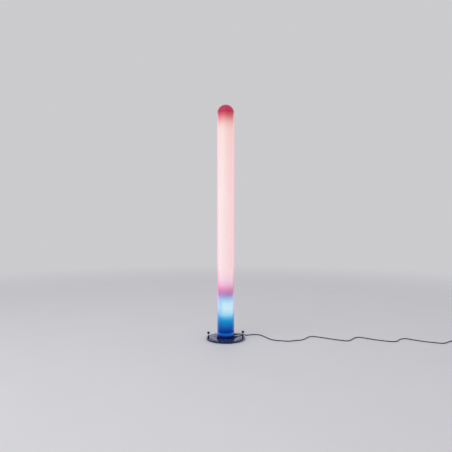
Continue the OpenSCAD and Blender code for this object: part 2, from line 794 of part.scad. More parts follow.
// Plug on its side: a tapered neck and a round body
module plug_body() {
    color([0.05, 0.04, 0.08]) translate([plug_x, plug_y, plug_z]) rotate([0, 90, 0]) difference() {
        rotate_extrude() polygon([
            [0, 0], [cord_r + 1.5, 0], [cord_r + 4, plug_neck_l], [plug_body_r - 5, plug_neck_l + 3],
            [plug_body_r, plug_neck_l + 9], [plug_body_r, plug_neck_l + plug_body_l - 1],
            [plug_body_r - 1, plug_neck_l + plug_body_l], [0, plug_neck_l + plug_body_l]]);
        for (side = [-1, 1]) translate([side * (plug_body_r + 2), 0, plug_neck_l + plug_body_l - 20])
            translate([-4, -4, 0]) cube([8, 8, 21]);
    }
}

module plug_pins() {
    color([0.8, 0.8, 0.82]) for (side = [-1, 1])
        translate([plug_x + plug_neck_l + plug_body_l, plug_y + side * plug_pin_gap / 2, plug_z])
            rotate([0, 90, 0]) {
                cylinder(r = plug_pin_r, h = plug_pin_l - 1.5);
                translate([0, 0, plug_pin_l - 1.5]) cylinder(r1 = plug_pin_r, r2 = plug_pin_r - 1, h = 1.5);
            }
}

// Levelling screws: the bush in the glass, the foot pad, the spindle and the knob
spindle_r = spindle_d / 2;
bush_wall = 1.6;
bush_top = disc_top + bush_rise;
knob_z = bush_top + level_travel + 2;
knob_roof = 3;
knob_grooves = 10;
knob_groove_r = 1.6;
knob_groove_deep = 1;
knob_foot_h = 1;
knob_crown_h = 1.5;
pad_z = 0.6;
pad_top = disc_z - loose;
pad_seat = pad_z + 0.8;
tip_r = 2.5;
function bush_stem_r() = spindle_r + bush_wall;

// The plug on the control board reaches this level
function board_plug_top() = board_z + board_t + board_plug_h;

module bush() {
    color([0.09, 0.05, 0.16]) difference() {
        union() {
            slab(bush_d / 2, disc_top, bush_top);
            slab(bush_stem_r(), disc_z, disc_top + 0.01);
        }
        slab(spindle_r + running, disc_z - 1, bush_top + 1);
    }
}

module foot_pad() {
    color([0.08, 0.08, 0.1]) difference() {
        slab(pad_d / 2, pad_z, pad_top);
        slab(tip_r + running, pad_seat, pad_top + 1);
    }
}

module spindle() {
    color([0.62, 0.63, 0.68]) {
        slab(tip_r, pad_seat, disc_z);
        slab(spindle_r, disc_z - 0.01, knob_z + knob_h - knob_roof);
    }
}

// Knob with finger grooves round its edge, between a foot and a chamfered crown
module knob() {
    edge = [for (i = [0 : knob_grooves - 1]) 360 * (i + 0.5) / knob_grooves];
    knob_r = knob_d / 2;
    waist_r = knob_r - knob_groove_deep - loose;
    knob_top = knob_z + knob_h;
    color([0.1, 0.03, 0.16]) difference() {
        union() {
            slab(waist_r, knob_z, knob_z + knob_foot_h);
            translate([0, 0, knob_z + knob_foot_h]) linear_extrude(knob_h - knob_foot_h - knob_crown_h)
                difference() {
                    circle(r = knob_r);
                    around(edge, knob_r + knob_groove_r - knob_groove_deep) circle(r = knob_groove_r);
                }
            translate([0, 0, knob_top - knob_crown_h])
                cylinder(r1 = waist_r, r2 = waist_r - knob_crown_h / 2, h = knob_crown_h);
        }
        slab(spindle_r + running, knob_z - 1, knob_top - knob_roof);
    }
}

module left_bush() { at_level(180) bush(); }
module left_pad() { at_level(180) foot_pad(); }
module left_spindle() { at_level(180) spindle(); }
module left_knob() { at_level(180) knob(); }
module right_bush() { at_level(0) bush(); }
module right_pad() { at_level(0) foot_pad(); }
module right_spindle() { at_level(0) spindle(); }
module right_knob() { at_level(0) knob(); }

base_disc();
glides();
bottom_cover();
ballast_weight();
disc_bolts();
disc_nuts();
drum_housing();
drum_gasket();
drum_screws();
tube_seal();
tube_screws();
outer_tube();
light_ring();
inner_diffuser();
diffuser_cap();
spine();
spine_foot();
foot_screws();
hub_screws();
lamp_bracket();
bulkhead();
top_plate();
lampholders_low();
lampholders_mid();
lampholders_base();
lampholders_top();
red_lamp();
green_lamp();
blue_lamp();
long_lamp_caps();
short_lamps();
short_lamp_caps();
mounting_rail();
gear_units();
wiring_loom();
control_board();
board_pillars();
terminal_block();
button_switch();
control_button();
cord_gland();
gland_nut();
strain_relief();
cord_entry();
cord_run();
cord_coil();
cord_tail();
coil_tie();
plug_body();
plug_pins();
left_bush();
left_pad();
left_spindle();
left_knob();
right_bush();
right_pad();
right_spindle();
right_knob();
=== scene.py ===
"""Looks of a colour-mixing floor lamp: a lit diffuser in a clear domed tube, on a drum and a round glass base."""

import logging
import math
from collections.abc import Callable, Iterable, Sequence
from dataclasses import dataclass
from enum import Enum

import bmesh
import bpy
from mathutils import Matrix, Vector


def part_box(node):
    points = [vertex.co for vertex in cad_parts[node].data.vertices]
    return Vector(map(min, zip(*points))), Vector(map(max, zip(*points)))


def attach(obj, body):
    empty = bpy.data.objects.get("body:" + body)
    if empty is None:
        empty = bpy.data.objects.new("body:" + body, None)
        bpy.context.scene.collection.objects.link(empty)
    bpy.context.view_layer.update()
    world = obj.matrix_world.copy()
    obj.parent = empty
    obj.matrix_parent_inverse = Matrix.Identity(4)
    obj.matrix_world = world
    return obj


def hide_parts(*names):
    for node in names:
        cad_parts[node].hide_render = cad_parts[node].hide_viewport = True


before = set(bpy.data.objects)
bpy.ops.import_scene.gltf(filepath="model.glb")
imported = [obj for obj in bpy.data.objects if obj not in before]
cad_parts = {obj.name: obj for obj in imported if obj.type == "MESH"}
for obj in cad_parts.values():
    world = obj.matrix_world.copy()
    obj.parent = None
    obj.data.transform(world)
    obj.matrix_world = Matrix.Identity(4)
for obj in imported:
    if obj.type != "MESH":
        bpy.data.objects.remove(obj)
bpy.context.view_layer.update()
LOG = logging.getLogger("floor_lamp")
MM = 0.001
AXIS_R = 1e-5
MERGE = 2.6e-5
Colour = tuple[float, float, float]
Point = tuple[float, float, float]
Pair = tuple[float, float]
Outline = list[Pair]
Corners = Sequence[tuple[float, ...]]
Rows = tuple[tuple[float, float, float, float], ...]
Piece = bpy.types.Object
Material = bpy.types.Material
SIDEWAYS = Matrix.Rotation(math.radians(90), 4, "Y")


# --- Shader expressions ---


def _operator(operation: str, swapped: bool = False) -> "Callable[[Signal, Signal | float], Signal]":
    """Makes an operator that adds one Math node.

    Args:
        operation: The Math node's operation.
        swapped: Whether the other value comes first.

    Returns:
        The operator.
    """

    def apply(self: "Signal", other: "Signal | float") -> "Signal":
        first, second = (other, self) if swapped else (self, other)
        return self.graph.node("ShaderNodeMath", {"operation": operation}, {0: first, 1: second})

    return apply


class Signal:
    """One output of a shader node, on which arithmetic adds Math nodes."""

    def __init__(self, graph: "Graph", socket: bpy.types.NodeSocket) -> None:
        """Keeps the socket and the graph that it belongs to."""
        self.graph, self.socket = graph, socket

    __add__ = __radd__ = _operator("ADD")
    __sub__, __rsub__ = _operator("SUBTRACT"), _operator("SUBTRACT", swapped=True)
    __mul__ = __rmul__ = _operator("MULTIPLY")
    __truediv__ = _operator("DIVIDE")
    __pow__ = _operator("POWER")
    above = _operator("MAXIMUM")

    def between(self, low: float, high: float) -> "Signal":
        """A share that rises smoothly from 0 at low to 1 at high.

        Args:
            low: Where the share is 0.
            high: Where it is 1.

        Returns:
            The share.
        """
        return self.graph.node(
            "ShaderNodeMapRange",
            {"interpolation_type": "SMOOTHSTEP"},
            {"Value": self, "From Min": low, "From Max": high},
        )


class Graph:
    """The node tree of one material."""

    def __init__(self, name: str) -> None:
        """Starts an empty tree.

        Args:
            name: The material's name.
        """
        self.material = bpy.data.materials.new(name)
        self.material.use_nodes = True
        self.tree = self.material.node_tree
        self.tree.nodes.clear()

    def node(
        self,
        kind: str,
        settings: dict[str, object] | None = None,
        sockets: dict[int | str, object] | None = None,
        out: int | str = 0,
    ) -> Signal:
        """Adds a node.

        Args:
            kind: The node's type.
            settings: Its settings, where stops is a colour ramp's list of place and colour.
            sockets: Values or links of its inputs, by name or number.
            out: The output that is wanted.

        Returns:
            The chosen output.
        """
        made = self.tree.nodes.new(kind)
        for key, value in (settings or {}).items():
            if key == "stops":
                ramp = made.color_ramp
                while len(ramp.elements) > 1:
                    ramp.elements.remove(ramp.elements[0])
                for i, (place, colour) in enumerate(value):
                    stop = ramp.elements[0] if i == 0 else ramp.elements.new(place)
                    stop.position, stop.color = place, (*colour, 1)
            else:
                setattr(made, key, value)
        for key, value in (sockets or {}).items():
            if isinstance(value, Signal):
                self.tree.links.new(value.socket, made.inputs[key])
            elif made.inputs[key].type == "RGBA" and len(value) == 3:
                made.inputs[key].default_value = (*value, 1)
            else:
                made.inputs[key].default_value = value
        return Signal(self, made.outputs[out])

    def place(self, stretch: Point = (1, 1, 1)) -> Signal:
        """The point on the surface, in metres, with each axis multiplied by its stretch.

        Args:
            stretch: The factor of each axis.

        Returns:
            The point.
        """
        here = self.node("ShaderNodeTexCoord", out="Object")
        if stretch == (1, 1, 1):
            return here
        return self.node("ShaderNodeVectorMath", {"operation": "MULTIPLY"}, {0: here, 1: stretch})

    def axes(self) -> tuple[Signal, Signal, Signal]:
        """The point's X, Y and Z as three values."""
        split = self.node("ShaderNodeSeparateXYZ", sockets={0: self.place()}).socket.node
        return tuple(Signal(self, split.outputs[i]) for i in range(3))

    def noise(self, scale: float, detail: float = 2, stretch: Point = (1, 1, 1)) -> Signal:
        """A soft random pattern from 0 to 1, with about scale blobs in a metre."""
        return self.node("ShaderNodeTexNoise", None, {"Vector": self.place(stretch), "Scale": scale, "Detail": detail})

    def patches(self, scale: float, detail: float, low: float, high: float) -> Signal:
        """Scattered patches: 0 where the random pattern is under low, and 1 where it is over high."""
        return self.noise(scale, detail).between(low, high)

    def mix(self, share: "Signal | float", first: "Signal | Colour", second: "Signal | Colour") -> Signal:
        """A colour between two, at the given share of the second."""
        return self.node("ShaderNodeMix", {"data_type": "RGBA"}, {0: share, 6: first, 7: second}, out=2)

    def times(self, first: "Signal | Colour", factor: "Signal | Colour") -> Signal:
        """Two colours multiplied."""
        return self.node("ShaderNodeVectorMath", {"operation": "MULTIPLY"}, {0: first, 1: factor})

    def ramp(self, share: Signal, rows: Rows, low: float, high: float) -> Signal:
        """A colour ramp between two heights.

        Args:
            share: Where the surface is, from 0 at low to 1 at high.
            rows: The height, red, green and blue of each stop.
            low: The lower height in metres.
            high: The upper height.

        Returns:
            The colour.
        """
        stops = [((row[0] - low) / (high - low), row[1:]) for row in rows]
        return self.node("ShaderNodeValToRGB", {"stops": stops}, {0: share})

    def bump(self, height: Signal, strength: float, distance: float) -> Signal:
        """A surface normal that follows a height pattern."""
        return self.node("ShaderNodeBump", None, {"Strength": strength, "Distance": distance, "Height": height})

    def surface(self, **sockets: object) -> Material:
        """Closes the tree with a Principled shader.

        Args:
            **sockets: The shader's inputs, with underscores for spaces.

        Returns:
            The finished material.
        """
        inputs = {key.replace("_", " "): value for key, value in sockets.items()}
        return self.close(self.node("ShaderNodeBsdfPrincipled", None, inputs))

    def close(self, shader: Signal) -> Material:
        """Links a shader to the output and returns the material.

        Args:
            shader: The output of the last shader.

        Returns:
            The finished material.
        """
        end = self.tree.nodes.new("ShaderNodeOutputMaterial")
        self.tree.links.new(shader.socket, end.inputs["Surface"])
        return self.material


# --- Finishes ---


def shade(colour: Colour, factor: float) -> Colour:
    """A colour made lighter or darker."""
    return tuple(min(1.0, c * factor) for c in colour)


@dataclass(frozen=True)
class Finish:
    """A solid finish with cloudy colour, uneven gloss and a fine grain."""

    name: str
    colour: Colour
    roughness: float = 0.5
    metallic: float = 0.0
    coat: float = 0.0
    cloud: float = 0.08
    cloud_scale: float = 45.0
    grain_scale: float = 1500.0
    grain_depth: float = 0.00005
    grain_strength: float = 0.25
    stretch: Point = (1, 1, 1)
    specular: float = 0.5

    def tint(self, graph: Graph) -> Signal:
        """The colour over the surface."""
        cloud = graph.noise(self.cloud_scale, 3)
        return graph.mix(cloud, shade(self.colour, 1 - self.cloud), shade(self.colour, 1 + self.cloud))

    def gloss(self, graph: Graph) -> Signal:
        """The roughness over the surface."""
        return (graph.noise(self.cloud_scale * 4, 4, self.stretch) - 0.5) * (self.roughness * 0.5) + self.roughness

    def grain(self, graph: Graph) -> Signal:
        """The normal over the surface."""
        return graph.bump(graph.noise(self.grain_scale, 2, self.stretch), self.grain_strength, self.grain_depth)

    def material(self) -> Material:
        """The finished material, made once and then shared."""
        found = bpy.data.materials.get(self.name)
        return found or self.make(Graph(self.name))

    def make(self, graph: Graph, **more: object) -> Material:
        """Builds the material.

        Args:
            graph: The empty graph.
            **more: More inputs of the shader.

        Returns:
            The finished material.
        """
        return graph.surface(
            Base_Color=self.tint(graph),
            Roughness=self.gloss(graph),
            Normal=self.grain(graph),
            Metallic=self.metallic,
            Coat_Weight=self.coat,
            Specular_IOR_Level=self.specular,
            **more,
        )


@dataclass(frozen=True)
class Metal(Finish):
    """Bare metal with drawn lines along one axis and small bright scuffs."""

    metallic: float = 1.0
    roughness: float = 0.32
    stretch: Point = (1, 1, 0.04)
    cloud: float = 0.06
    scuffed: float = 0.35

    def tint(self, graph: Graph) -> Signal:
        """The metal's colour, paler in its scuffs."""
        scuffs = graph.patches(260, 6, 0.62, 0.72) * self.scuffed
        return graph.mix(scuffs, super().tint(graph), shade(self.colour, 1 + self.scuffed))


@dataclass(frozen=True)
class Rubber(Finish):
    """Matt rubber or sheath with a dusty bloom."""

    roughness: float = 0.62
    dust: float = 0.08
    dust_tone: Colour = (0.35, 0.34, 0.36)

    def tint(self, graph: Graph) -> Signal:
        """The rubber's colour, greyer where dust lies."""
        dust = graph.patches(90, 5, 0.5, 0.8) * self.dust
        return graph.mix(dust, super().tint(graph), self.dust_tone)


@dataclass(frozen=True)
class DrumPaint(Finish):
    """Gloss paint, with the light ring's glow painted on as emission where the spigot stands up inside the clear tube.
    """

    # painted light: the colour, start height and edge of the ring's glow that is painted on the spigot
    painted_ring_glow: Colour = (0.01, 0.20, 0.36)
    painted_glow_from: float = 0.0362
    painted_glow_edge: float = 0.0006
    reflected: Colour = (0.22, 0.45, 1.0)

    def make(self, graph: Graph) -> Material:
        """Builds the paint with the light ring's glow painted onto the spigot as emission.

        Args:
            graph: The empty graph.

        Returns:
            The finished material.
        """
        # painted light: above this height the spigot glows with the ring's blue, though the paint is no lamp
        painted_glow_share = graph.axes()[2].between(self.painted_glow_from, self.painted_glow_from + self.painted_glow_edge)
        light = graph.mix(painted_glow_share, (0, 0, 0), self.painted_ring_glow)
        return super().make(graph, Specular_Tint=self.reflected, Emission_Color=light, Emission_Strength=1.0)


@dataclass(frozen=True)
class LampGlass(Finish):
    """Coated lamp glass that glows evenly between its darker ends."""

    low: float = 0.0
    high: float = 1.0
    fade: float = 0.05

    def make(self, graph: Graph) -> Material:
        """Builds the coated glass with its light.

        Args:
            graph: The empty graph.

        Returns:
            The finished material.
        """
        height = graph.axes()[2]
        lit = height.between(self.low, self.low + self.fade) * (1 - height.between(self.high - self.fade, self.high))
        return graph.surface(
            Base_Color=self.tint(graph),
            Roughness=self.roughness,
            Emission_Color=graph.mix(lit, shade(self.colour, 0.15), self.colour),
            Emission_Strength=1.5,
        )


@dataclass(frozen=True)
class LitDiffuser(Finish):
    """Prismatic acrylic that shows the lamps behind it: red, green and blue ones above, blue ones below. Its base
    colour is that same light darkened, so the light is painted into it as well.
    """

    bands: Rows = ()
    low: float = 0.06
    high: float = 1.81
    reach: float = 0.057
    narrowness: float = 10
    upper_zone: tuple[float, ...] = (0.38, 0.62, 1.69, 1.80)
    lower_zone: tuple[float, ...] = (0.09, 0.14, 0.27, 0.36)
    streak_scale: float = 160
    streak_depth: float = 0.08
    # painted light: the share of the lamps' light that is painted into the base colour
    painted_light_share: Colour = (0.25, 0.25, 0.25)
    strength: float = 1.0

    def light(self, graph: Graph) -> Signal:
        """The light's colour over the whole column.

        Args:
            graph: The material's graph.

        Returns:
            The colour.
        """
        x, y, z = graph.axes()
        colour = graph.ramp((z - self.low) / (self.high - self.low), self.bands, self.low, self.high)
        upper, lower = (
            z.between(*zone[:2]) * (1 - z.between(*zone[2:])) for zone in (self.upper_zone, self.lower_zone)
        )
        tones = (  # the angle, tone and zone of each lighter or darker stripe
            (210, (0.99, 1.10, 1.06), upper),
            (330, (1.0, 0.93, 0.92), upper),
            (90, (0.95, 0.96, 1.05), upper),
            (218, (0.62, 0.80, 0.88), lower),
            (85, (0.80, 0.92, 0.96), lower),
        )
        for angle, tone, zone in tones:
            turn = math.radians(angle)
            towards = (x * (math.cos(turn) / self.reach) + y * (math.sin(turn) / self.reach)).above(0)
            colour = graph.mix(towards**self.narrowness * zone, colour, graph.times(colour, tone))
        return colour

    def make(self, graph: Graph) -> Material:
        """Builds the lit acrylic.

        Args:
            graph: The empty graph.

        Returns:
            The finished material.
        """
        light = self.light(graph)
        streaks = (graph.noise(self.streak_scale, 2, (1, 1, 0.002)) - 0.5) * self.streak_depth + 1.0
        lit = graph.times(light, graph.node("ShaderNodeCombineXYZ", None, {0: streaks, 1: streaks, 2: streaks}))
        return graph.surface(
            # painted light: the base colour is the lamps' light scaled down, so the diffuser keeps the light's colours
            # when the lamps are off
            Base_Color=graph.times(light, self.painted_light_share),
            Roughness=self.gloss(graph),
            Normal=self.grain(graph),
            Emission_Color=lit,
            Emission_Strength=self.strength,
            Specular_IOR_Level=self.specular,
        )


@dataclass(frozen=True)
class ClearAcrylic(Finish):
    """Clear acrylic with the colour of the light inside it painted on, from rose at the dome to violet at the foot."""

    painted_light_tints: Rows = ()
    glow: Rows = ()
    glow_right: Rows = ()
    low: float = 0.0
    high: float = 1.86
    turnover: float = 0.03
    reflected: Colour = (0.15, 0.35, 0.8)
    ior: float = 1.49
    smears: float = 0.03

    def make(self, graph: Graph) -> Material:
        """Builds the clear, faintly tinted wall, which glows a little all over and so most along its rims: its tint and
        glow are painted light that follows the height of the lamps inside, with a different glow left and right of the
        middle.

        Args:
            graph: The empty graph.

        Returns:
            The finished material.
        """
        x, _, z = graph.axes()
        share = (z - self.low) / (self.high - self.low)
        # painted light: tint and glow follow the lamps' colours by height, and the glow differs left and right of the
        # middle
        tint, left, right = (
            graph.ramp(share, rows, self.low, self.high) for rows in (self.painted_light_tints, self.glow, self.glow_right)
        )
        return graph.surface(
            Base_Color=tint,
            Emission_Color=graph.mix(x.between(-self.turnover, self.turnover), left, right),
            Emission_Strength=1.0,
            Roughness=graph.patches(60, 3, 0.35, 0.9) * self.smears,
            Transmission_Weight=1.0,
            IOR=self.ior,
            Specular_Tint=self.reflected,
        )


@dataclass(frozen=True)
class TintedGlass(Finish):
    """Smoke-indigo glass, deepest at its rim where the light has the longest way through it."""

    edge: Colour = (0.03, 0.03, 0.15)
    rim_from: float = 0.146
    rim_to: float = 0.1525
    ior: float = 1.52
    smears: float = 0.05

    def make(self, graph: Graph) -> Material:
        """Builds the tinted glass.

        Args:
            graph: The empty graph.

        Returns:
            The finished material.
        """
        x, y, _ = graph.axes()
        reach = (x * x + y * y) ** 0.5
        return graph.surface(
            Base_Color=graph.mix(reach.between(self.rim_from, self.rim_to), self.colour, self.edge),
            Roughness=graph.patches(70, 4, 0.5, 0.95) * self.smears,
            Transmission_Weight=1.0,
            IOR=self.ior,
        )


# --- Modelling ---


def clear_selection() -> None:
    """Deselects every object, the CAD nodes too."""
    bpy.ops.object.select_all(action="DESELECT")


def take(piece: Piece) -> Piece:
    """Selects one piece alone and makes it active.

    Args:
        piece: The piece.

    Returns:
        The same piece.
    """
    clear_selection()
    piece.select_set(True)
    bpy.context.view_layer.objects.active = piece
    return piece


def named(name: str) -> Piece:
    """Names the active object and its mesh.

    Args:
        name: The new name.

    Returns:
        The active object.
    """
    piece = bpy.context.object
    piece.name = piece.data.name = name
    return piece


def closed_up(piece: Piece, filled: bool = False) -> Piece:
    """Merges a piece's doubled points and turns its faces outwards.

    Args:
        piece: The piece.
        filled: Whether its open ends are filled.

    Returns:
        The same piece.
    """
    take(piece)
    bpy.ops.object.mode_set(mode="EDIT")
    bpy.ops.mesh.select_all(action="SELECT")
    bpy.ops.mesh.remove_doubles(threshold=MERGE)
    if filled:
        bpy.ops.mesh.select_all(action="DESELECT")
        bpy.ops.mesh.select_non_manifold()
        bpy.ops.mesh.fill_holes(sides=0)
        bpy.ops.mesh.select_all(action="SELECT")
    bpy.ops.mesh.normals_make_consistent(inside=False)
    bpy.ops.object.mode_set(mode="OBJECT")
    return piece


def pressed(pattern: Sequence[float], level: float) -> None:
    """Presses the circle in edit mode in and out, in a pattern that repeats round it.

    Args:
        pattern: The share of its reach that each point in turn keeps.
        level: The circle's height in metres.
    """
    mesh = bmesh.from_edit_mesh(bpy.context.object.data)
    for share in sorted(set(pattern) - {1.0}):
        for vert in mesh.verts:
            vert.select_set(pattern[vert.index % len(pattern)] == share)
        bmesh.update_edit_mesh(bpy.context.object.data)
        bpy.ops.transform.resize(value=(share, share, 1), center_override=(0, 0, level))
    bpy.ops.mesh.select_all(action="SELECT")


def turned(name: str, outline: Outline, steps: int = 64, pattern: Sequence[float] = ()) -> Piece:
    """Makes a closed form on the Z axis by extruding a circle ring by ring.

    Args:
        name: The piece's name.
        outline: Radius and height of each ring in millimetres. Both ends are on the axis, or are one point.
        steps: Points round the axis.
        pattern: Shares of the reach that make flutes, repeated round the axis.

    Returns:
        The new piece.
    """
    clear_selection()
    rings = [(max(reach * MM, AXIS_R), level * MM) for reach, level in outline]
    bpy.ops.mesh.primitive_circle_add(vertices=steps, radius=rings[0][0], enter_editmode=True)
    bpy.ops.transform.translate(value=(0, 0, rings[0][1]))
    if pattern:
        pressed(pattern, rings[0][1])
    for (reach, level), (wide, high) in zip(rings, rings[1:]):
        bpy.ops.mesh.extrude_region_move(TRANSFORM_OT_translate={"value": (0, 0, high - level)})
        share = wide / reach
        bpy.ops.transform.resize(value=(share, share, 1), center_override=(0, 0, high))
    bpy.ops.object.mode_set(mode="OBJECT")
    return closed_up(named(name))


def eased(corners: Corners, ease: float = 0.5, steps: int = 3) -> Outline:
    """Rounds the corners of an outline between its first and last points.

    Args:
        corners: Radius and height of each corner, and its own ease where a third number is given.
        ease: How far a rounding reaches from its corner, in millimetres.
        steps: Stretches in each rounding.

    Returns:
        The outline with its rounded corners.
    """
    made = [tuple(corners[0][:2])]
    for before, here, after in zip(corners, corners[1:], corners[2:]):
        reach = here[2] if len(here) > 2 else ease
        corner = Vector(here[:2])
        back, on = Vector(before[:2]) - corner, Vector(after[:2]) - corner
        start = corner + back.normalized() * min(reach, back.length / 2)
        stop = corner + on.normalized() * min(reach, on.length / 2)
        for i in range(steps + 1 if reach else 1):
            t = i / steps
            made.append(tuple(start * (1 - t) ** 2 + corner * (2 * t * (1 - t)) + stop * t * t))
    made.append(tuple(corners[-1][:2]))
    return made


def block(name: str, low: Point, high: Point, ease: float = 0.5, segments: int = 2) -> Piece:
    """Makes a box with rounded edges between two corners.

    Args:
        name: The piece's name.
        low: The lowest corner in millimetres.
        high: The highest corner in millimetres.
        ease: Radius of the edges in millimetres.
        segments: Facets in each rounded edge.

    Returns:
        The new piece.
    """
    clear_selection()
    bpy.ops.mesh.primitive_cube_add(size=1, enter_editmode=True)
    size = [(b - a) * MM for a, b in zip(low, high)]
    middle = [(b + a) * MM / 2 for a, b in zip(low, high)]
    bpy.ops.transform.resize(value=size, center_override=(0, 0, 0))
    bpy.ops.mesh.bevel(offset=ease * MM, segments=segments, affect="EDGES")
    bpy.ops.transform.translate(value=middle)
    bpy.ops.object.mode_set(mode="OBJECT")
    return named(name)


def combined(piece: Piece, tool: Piece, operation: str) -> Piece:
    """Cuts a piece by a tool, or keeps what they share, and removes the tool.

    Args:
        piece: The piece that is kept.
        tool: The shape that is used up.
        operation: DIFFERENCE, INTERSECT or UNION.

    Returns:
        The changed piece.
    """
    take(piece)
    step = piece.modifiers.new("step", "BOOLEAN")
    step.operation, step.solver, step.object = operation, "EXACT", tool
    bpy.ops.object.modifier_apply(modifier=step.name)
    bpy.data.objects.remove(tool, do_unlink=True)
    return piece


def cut(piece: Piece, *tools: Piece) -> Piece:
    """Cuts separate shapes out of a piece in one go."""
    return combined(piece, joined("tools", *tools), "DIFFERENCE")


def joined(name: str, *parts: Piece) -> Piece:
    """Joins shapes into one piece.

    Args:
        name: The new piece's name.
        *parts: The shapes, which are used up.

    Returns:
        The new piece.
    """
    take(parts[0])
    for part in parts[1:]:
        part.select_set(True)
    if len(parts) > 1:
        bpy.ops.object.join()
    return named(name)


def moved(piece: Piece, place: Matrix) -> Piece:
    """Moves a piece within its mesh, so that its object stays at the origin.

    Args:
        piece: The piece.
        place: Where it goes.

    Returns:
        The same piece.
    """
    piece.data.transform(place)
    piece.data.update()
    return piece


def bores(
    radius: float, low: float, high: float, places: Iterable[Matrix], steps: int = 32
) -> list[Piece]:
    """Makes plain round tools for cutting.

    Args:
        radius: The tools' radius in millimetres.
        low: Where each begins on its own axis, in millimetres.
        high: Where it ends there.
        places: Where the tools go.
        steps: Points round each tool.

    Returns:
        The tools.
    """
    outline = [(0, low), (radius, low), (radius, high), (0, high)]
    return [moved(turned("bore", outline, steps), place) for place in places]


def copied(piece: Piece, name: str, place: Matrix) -> Piece:
    """Copies a piece with its own mesh to another place.

    Args:
        piece: The piece.
        name: The copy's name.
        place: Where the copy goes.

    Returns:
        The copy.
    """
    twin = bpy.data.objects.new(name, piece.data.copy())
    bpy.context.scene.collection.objects.link(twin)
    return moved(twin, place)


def spread(name: str, piece: Piece, places: Sequence[Matrix]) -> Piece:
    """Copies one shape to several places, as one piece.

    Args:
        name: The piece's name.
        piece: The shape, which is used up.
        places: Where it goes.

    Returns:
        The piece with all the copies.
    """
    copies = [copied(piece, f"{name}_{i}", place) for i, place in enumerate(places)]
    bpy.data.objects.remove(piece, do_unlink=True)
    return joined(name, *copies)


def standing(angle: float, reach: float, level: float = 0.0) -> Matrix:
    """The place at a reach from the axis in millimetres, turned to an angle in degrees, with Z up."""
    return Matrix.Rotation(math.radians(angle), 4, "Z") @ Matrix.Translation((reach * MM, 0, level * MM))


def facing(angle: float, reach: float, level: float) -> Matrix:
    """The place at a reach from the axis in millimetres where Z points outwards at an angle in degrees."""
    return standing(angle, reach, level) @ SIDEWAYS


def coated(piece: Piece, finish: Finish) -> None:
    """Gives a piece one finish alone."""
    piece.data.materials.clear()
    piece.data.materials.append(finish.material())


def fitted(
    piece: Piece,
    finish: Finish,
    nodes: Iterable[str] = (),
    body: str = "lamp",
    smooth: float = 32.0,
) -> None:
    """Dresses a piece, hands it to its body and reports it.

    Args:
        piece: The modelled piece.
        finish: Its finish.
        nodes: The CAD nodes that it stands for.
        body: The body that it rides on.
        smooth: The largest angle between faces that is shaded smooth, in degrees.
    """
    take(piece)
    bpy.ops.object.shade_smooth_by_angle(angle=math.radians(smooth))
    coated(piece, finish)
    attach(piece, body)
    if nodes:
        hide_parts(*nodes)
    LOG.info("%s: modelled, on %s", piece.name, body)


def dress(finishes: dict[Finish, str]) -> None:
    """Gives CAD nodes their finishes and reports them.

    Args:
        finishes: The names of the nodes for each finish, with spaces between them.
    """
    for finish, nodes in finishes.items():
        for node in nodes.split():
            coated(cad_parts[node], finish)
            LOG.info("%s: from the CAD, in %s", node, finish.name)


# --- The lamp's own finishes ---

COLUMN_LIGHT = (
    (0.06, 0, 0.02, 0.22), (0.085, 0, 0.1, 0.3), (0.13, 0, 0.34, 0.46), (0.155, 0, 0.395, 0.525),
    (0.176, 0.15, 0.54, 0.56), (0.2, 0.45, 0.7, 0.66), (0.235, 0.51, 0.735, 0.61), (0.285, 0.44, 0.74, 0.58),
    (0.317, 0.24, 0.64, 0.56), (0.345, 0.18, 0.36, 0.43), (0.366, 0.3, 0.235, 0.355), (0.39, 0.45, 0.28, 0.39),
    (0.412, 0.54, 0.42, 0.51), (0.434, 0.58, 0.55, 0.62), (0.47, 0.565, 0.68, 0.64), (0.54, 0.57, 0.68, 0.64),
    (0.61, 0.5, 0.645, 0.583), (1.1, 0.515, 0.653, 0.583), (1.4, 0.5, 0.625, 0.55), (1.62, 0.5, 0.59, 0.505),
    (1.66, 0.488, 0.557, 0.475), (1.7, 0.51, 0.475, 0.4), (1.731, 0.49, 0.33, 0.27), (1.762, 0.43, 0.14, 0.125),
    (1.785, 0.43, 0.06, 0.045), (1.792, 0.46, 0.1, 0.11),
)
# painted light on the clear tube: its tint by height, then its glow by height on the left and on the right
TUBE_PAINTED_TINT = (
    (0.04, 0.22, 0.36, 0.8), (0.13, 0.3, 0.5, 0.9), (0.18, 0.48, 0.7, 0.95), (0.22, 0.75, 0.87, 0.99),
    (0.25, 0.9, 0.94, 1), (0.34, 0.95, 0.82, 0.94), (0.4, 0.94, 0.73, 0.87), (0.46, 0.99, 0.81, 0.91),
    (0.6, 1, 0.93, 0.96), (1.7, 1, 0.93, 0.95), (1.783, 0.98, 0.72, 0.8), (1.79, 0.84, 0.23, 0.37),
)
TUBE_GLOW = (
    (0.06, 0, 0.001, 0.006), (0.14, 0.002, 0.005, 0.02), (0.2, 0.01, 0.022, 0.08), (0.29, 0.05, 0.03, 0.14),
    (0.4, 0.1, 0, 0.035), (0.6, 0.17, 0.03, 0.06), (1.66, 0.17, 0.04, 0.055), (1.75, 0.12, 0.01, 0.02),
    (1.79, 0.02, 0, 0.003),
)
TUBE_GLOW_RIGHT = (
    (0.06, 0, 0.001, 0.006), (0.14, 0.002, 0.004, 0.02), (0.2, 0.01, 0.02, 0.075), (0.29, 0.05, 0.02, 0.13),
    (0.4, 0.06, 0, 0.01), (0.6, 0.15, 0.01, 0.035), (1.66, 0.15, 0.012, 0.03), (1.71, 0.1, 0, 0.01),
    (1.75, 0.06, 0, 0.005), (1.79, 0.01, 0, 0.002),
)
DIFFUSER = LitDiffuser(
    "lit_prismatic_acrylic", (1, 1, 1), roughness=0.38, grain_scale=900, specular=0.2, bands=COLUMN_LIGHT
)
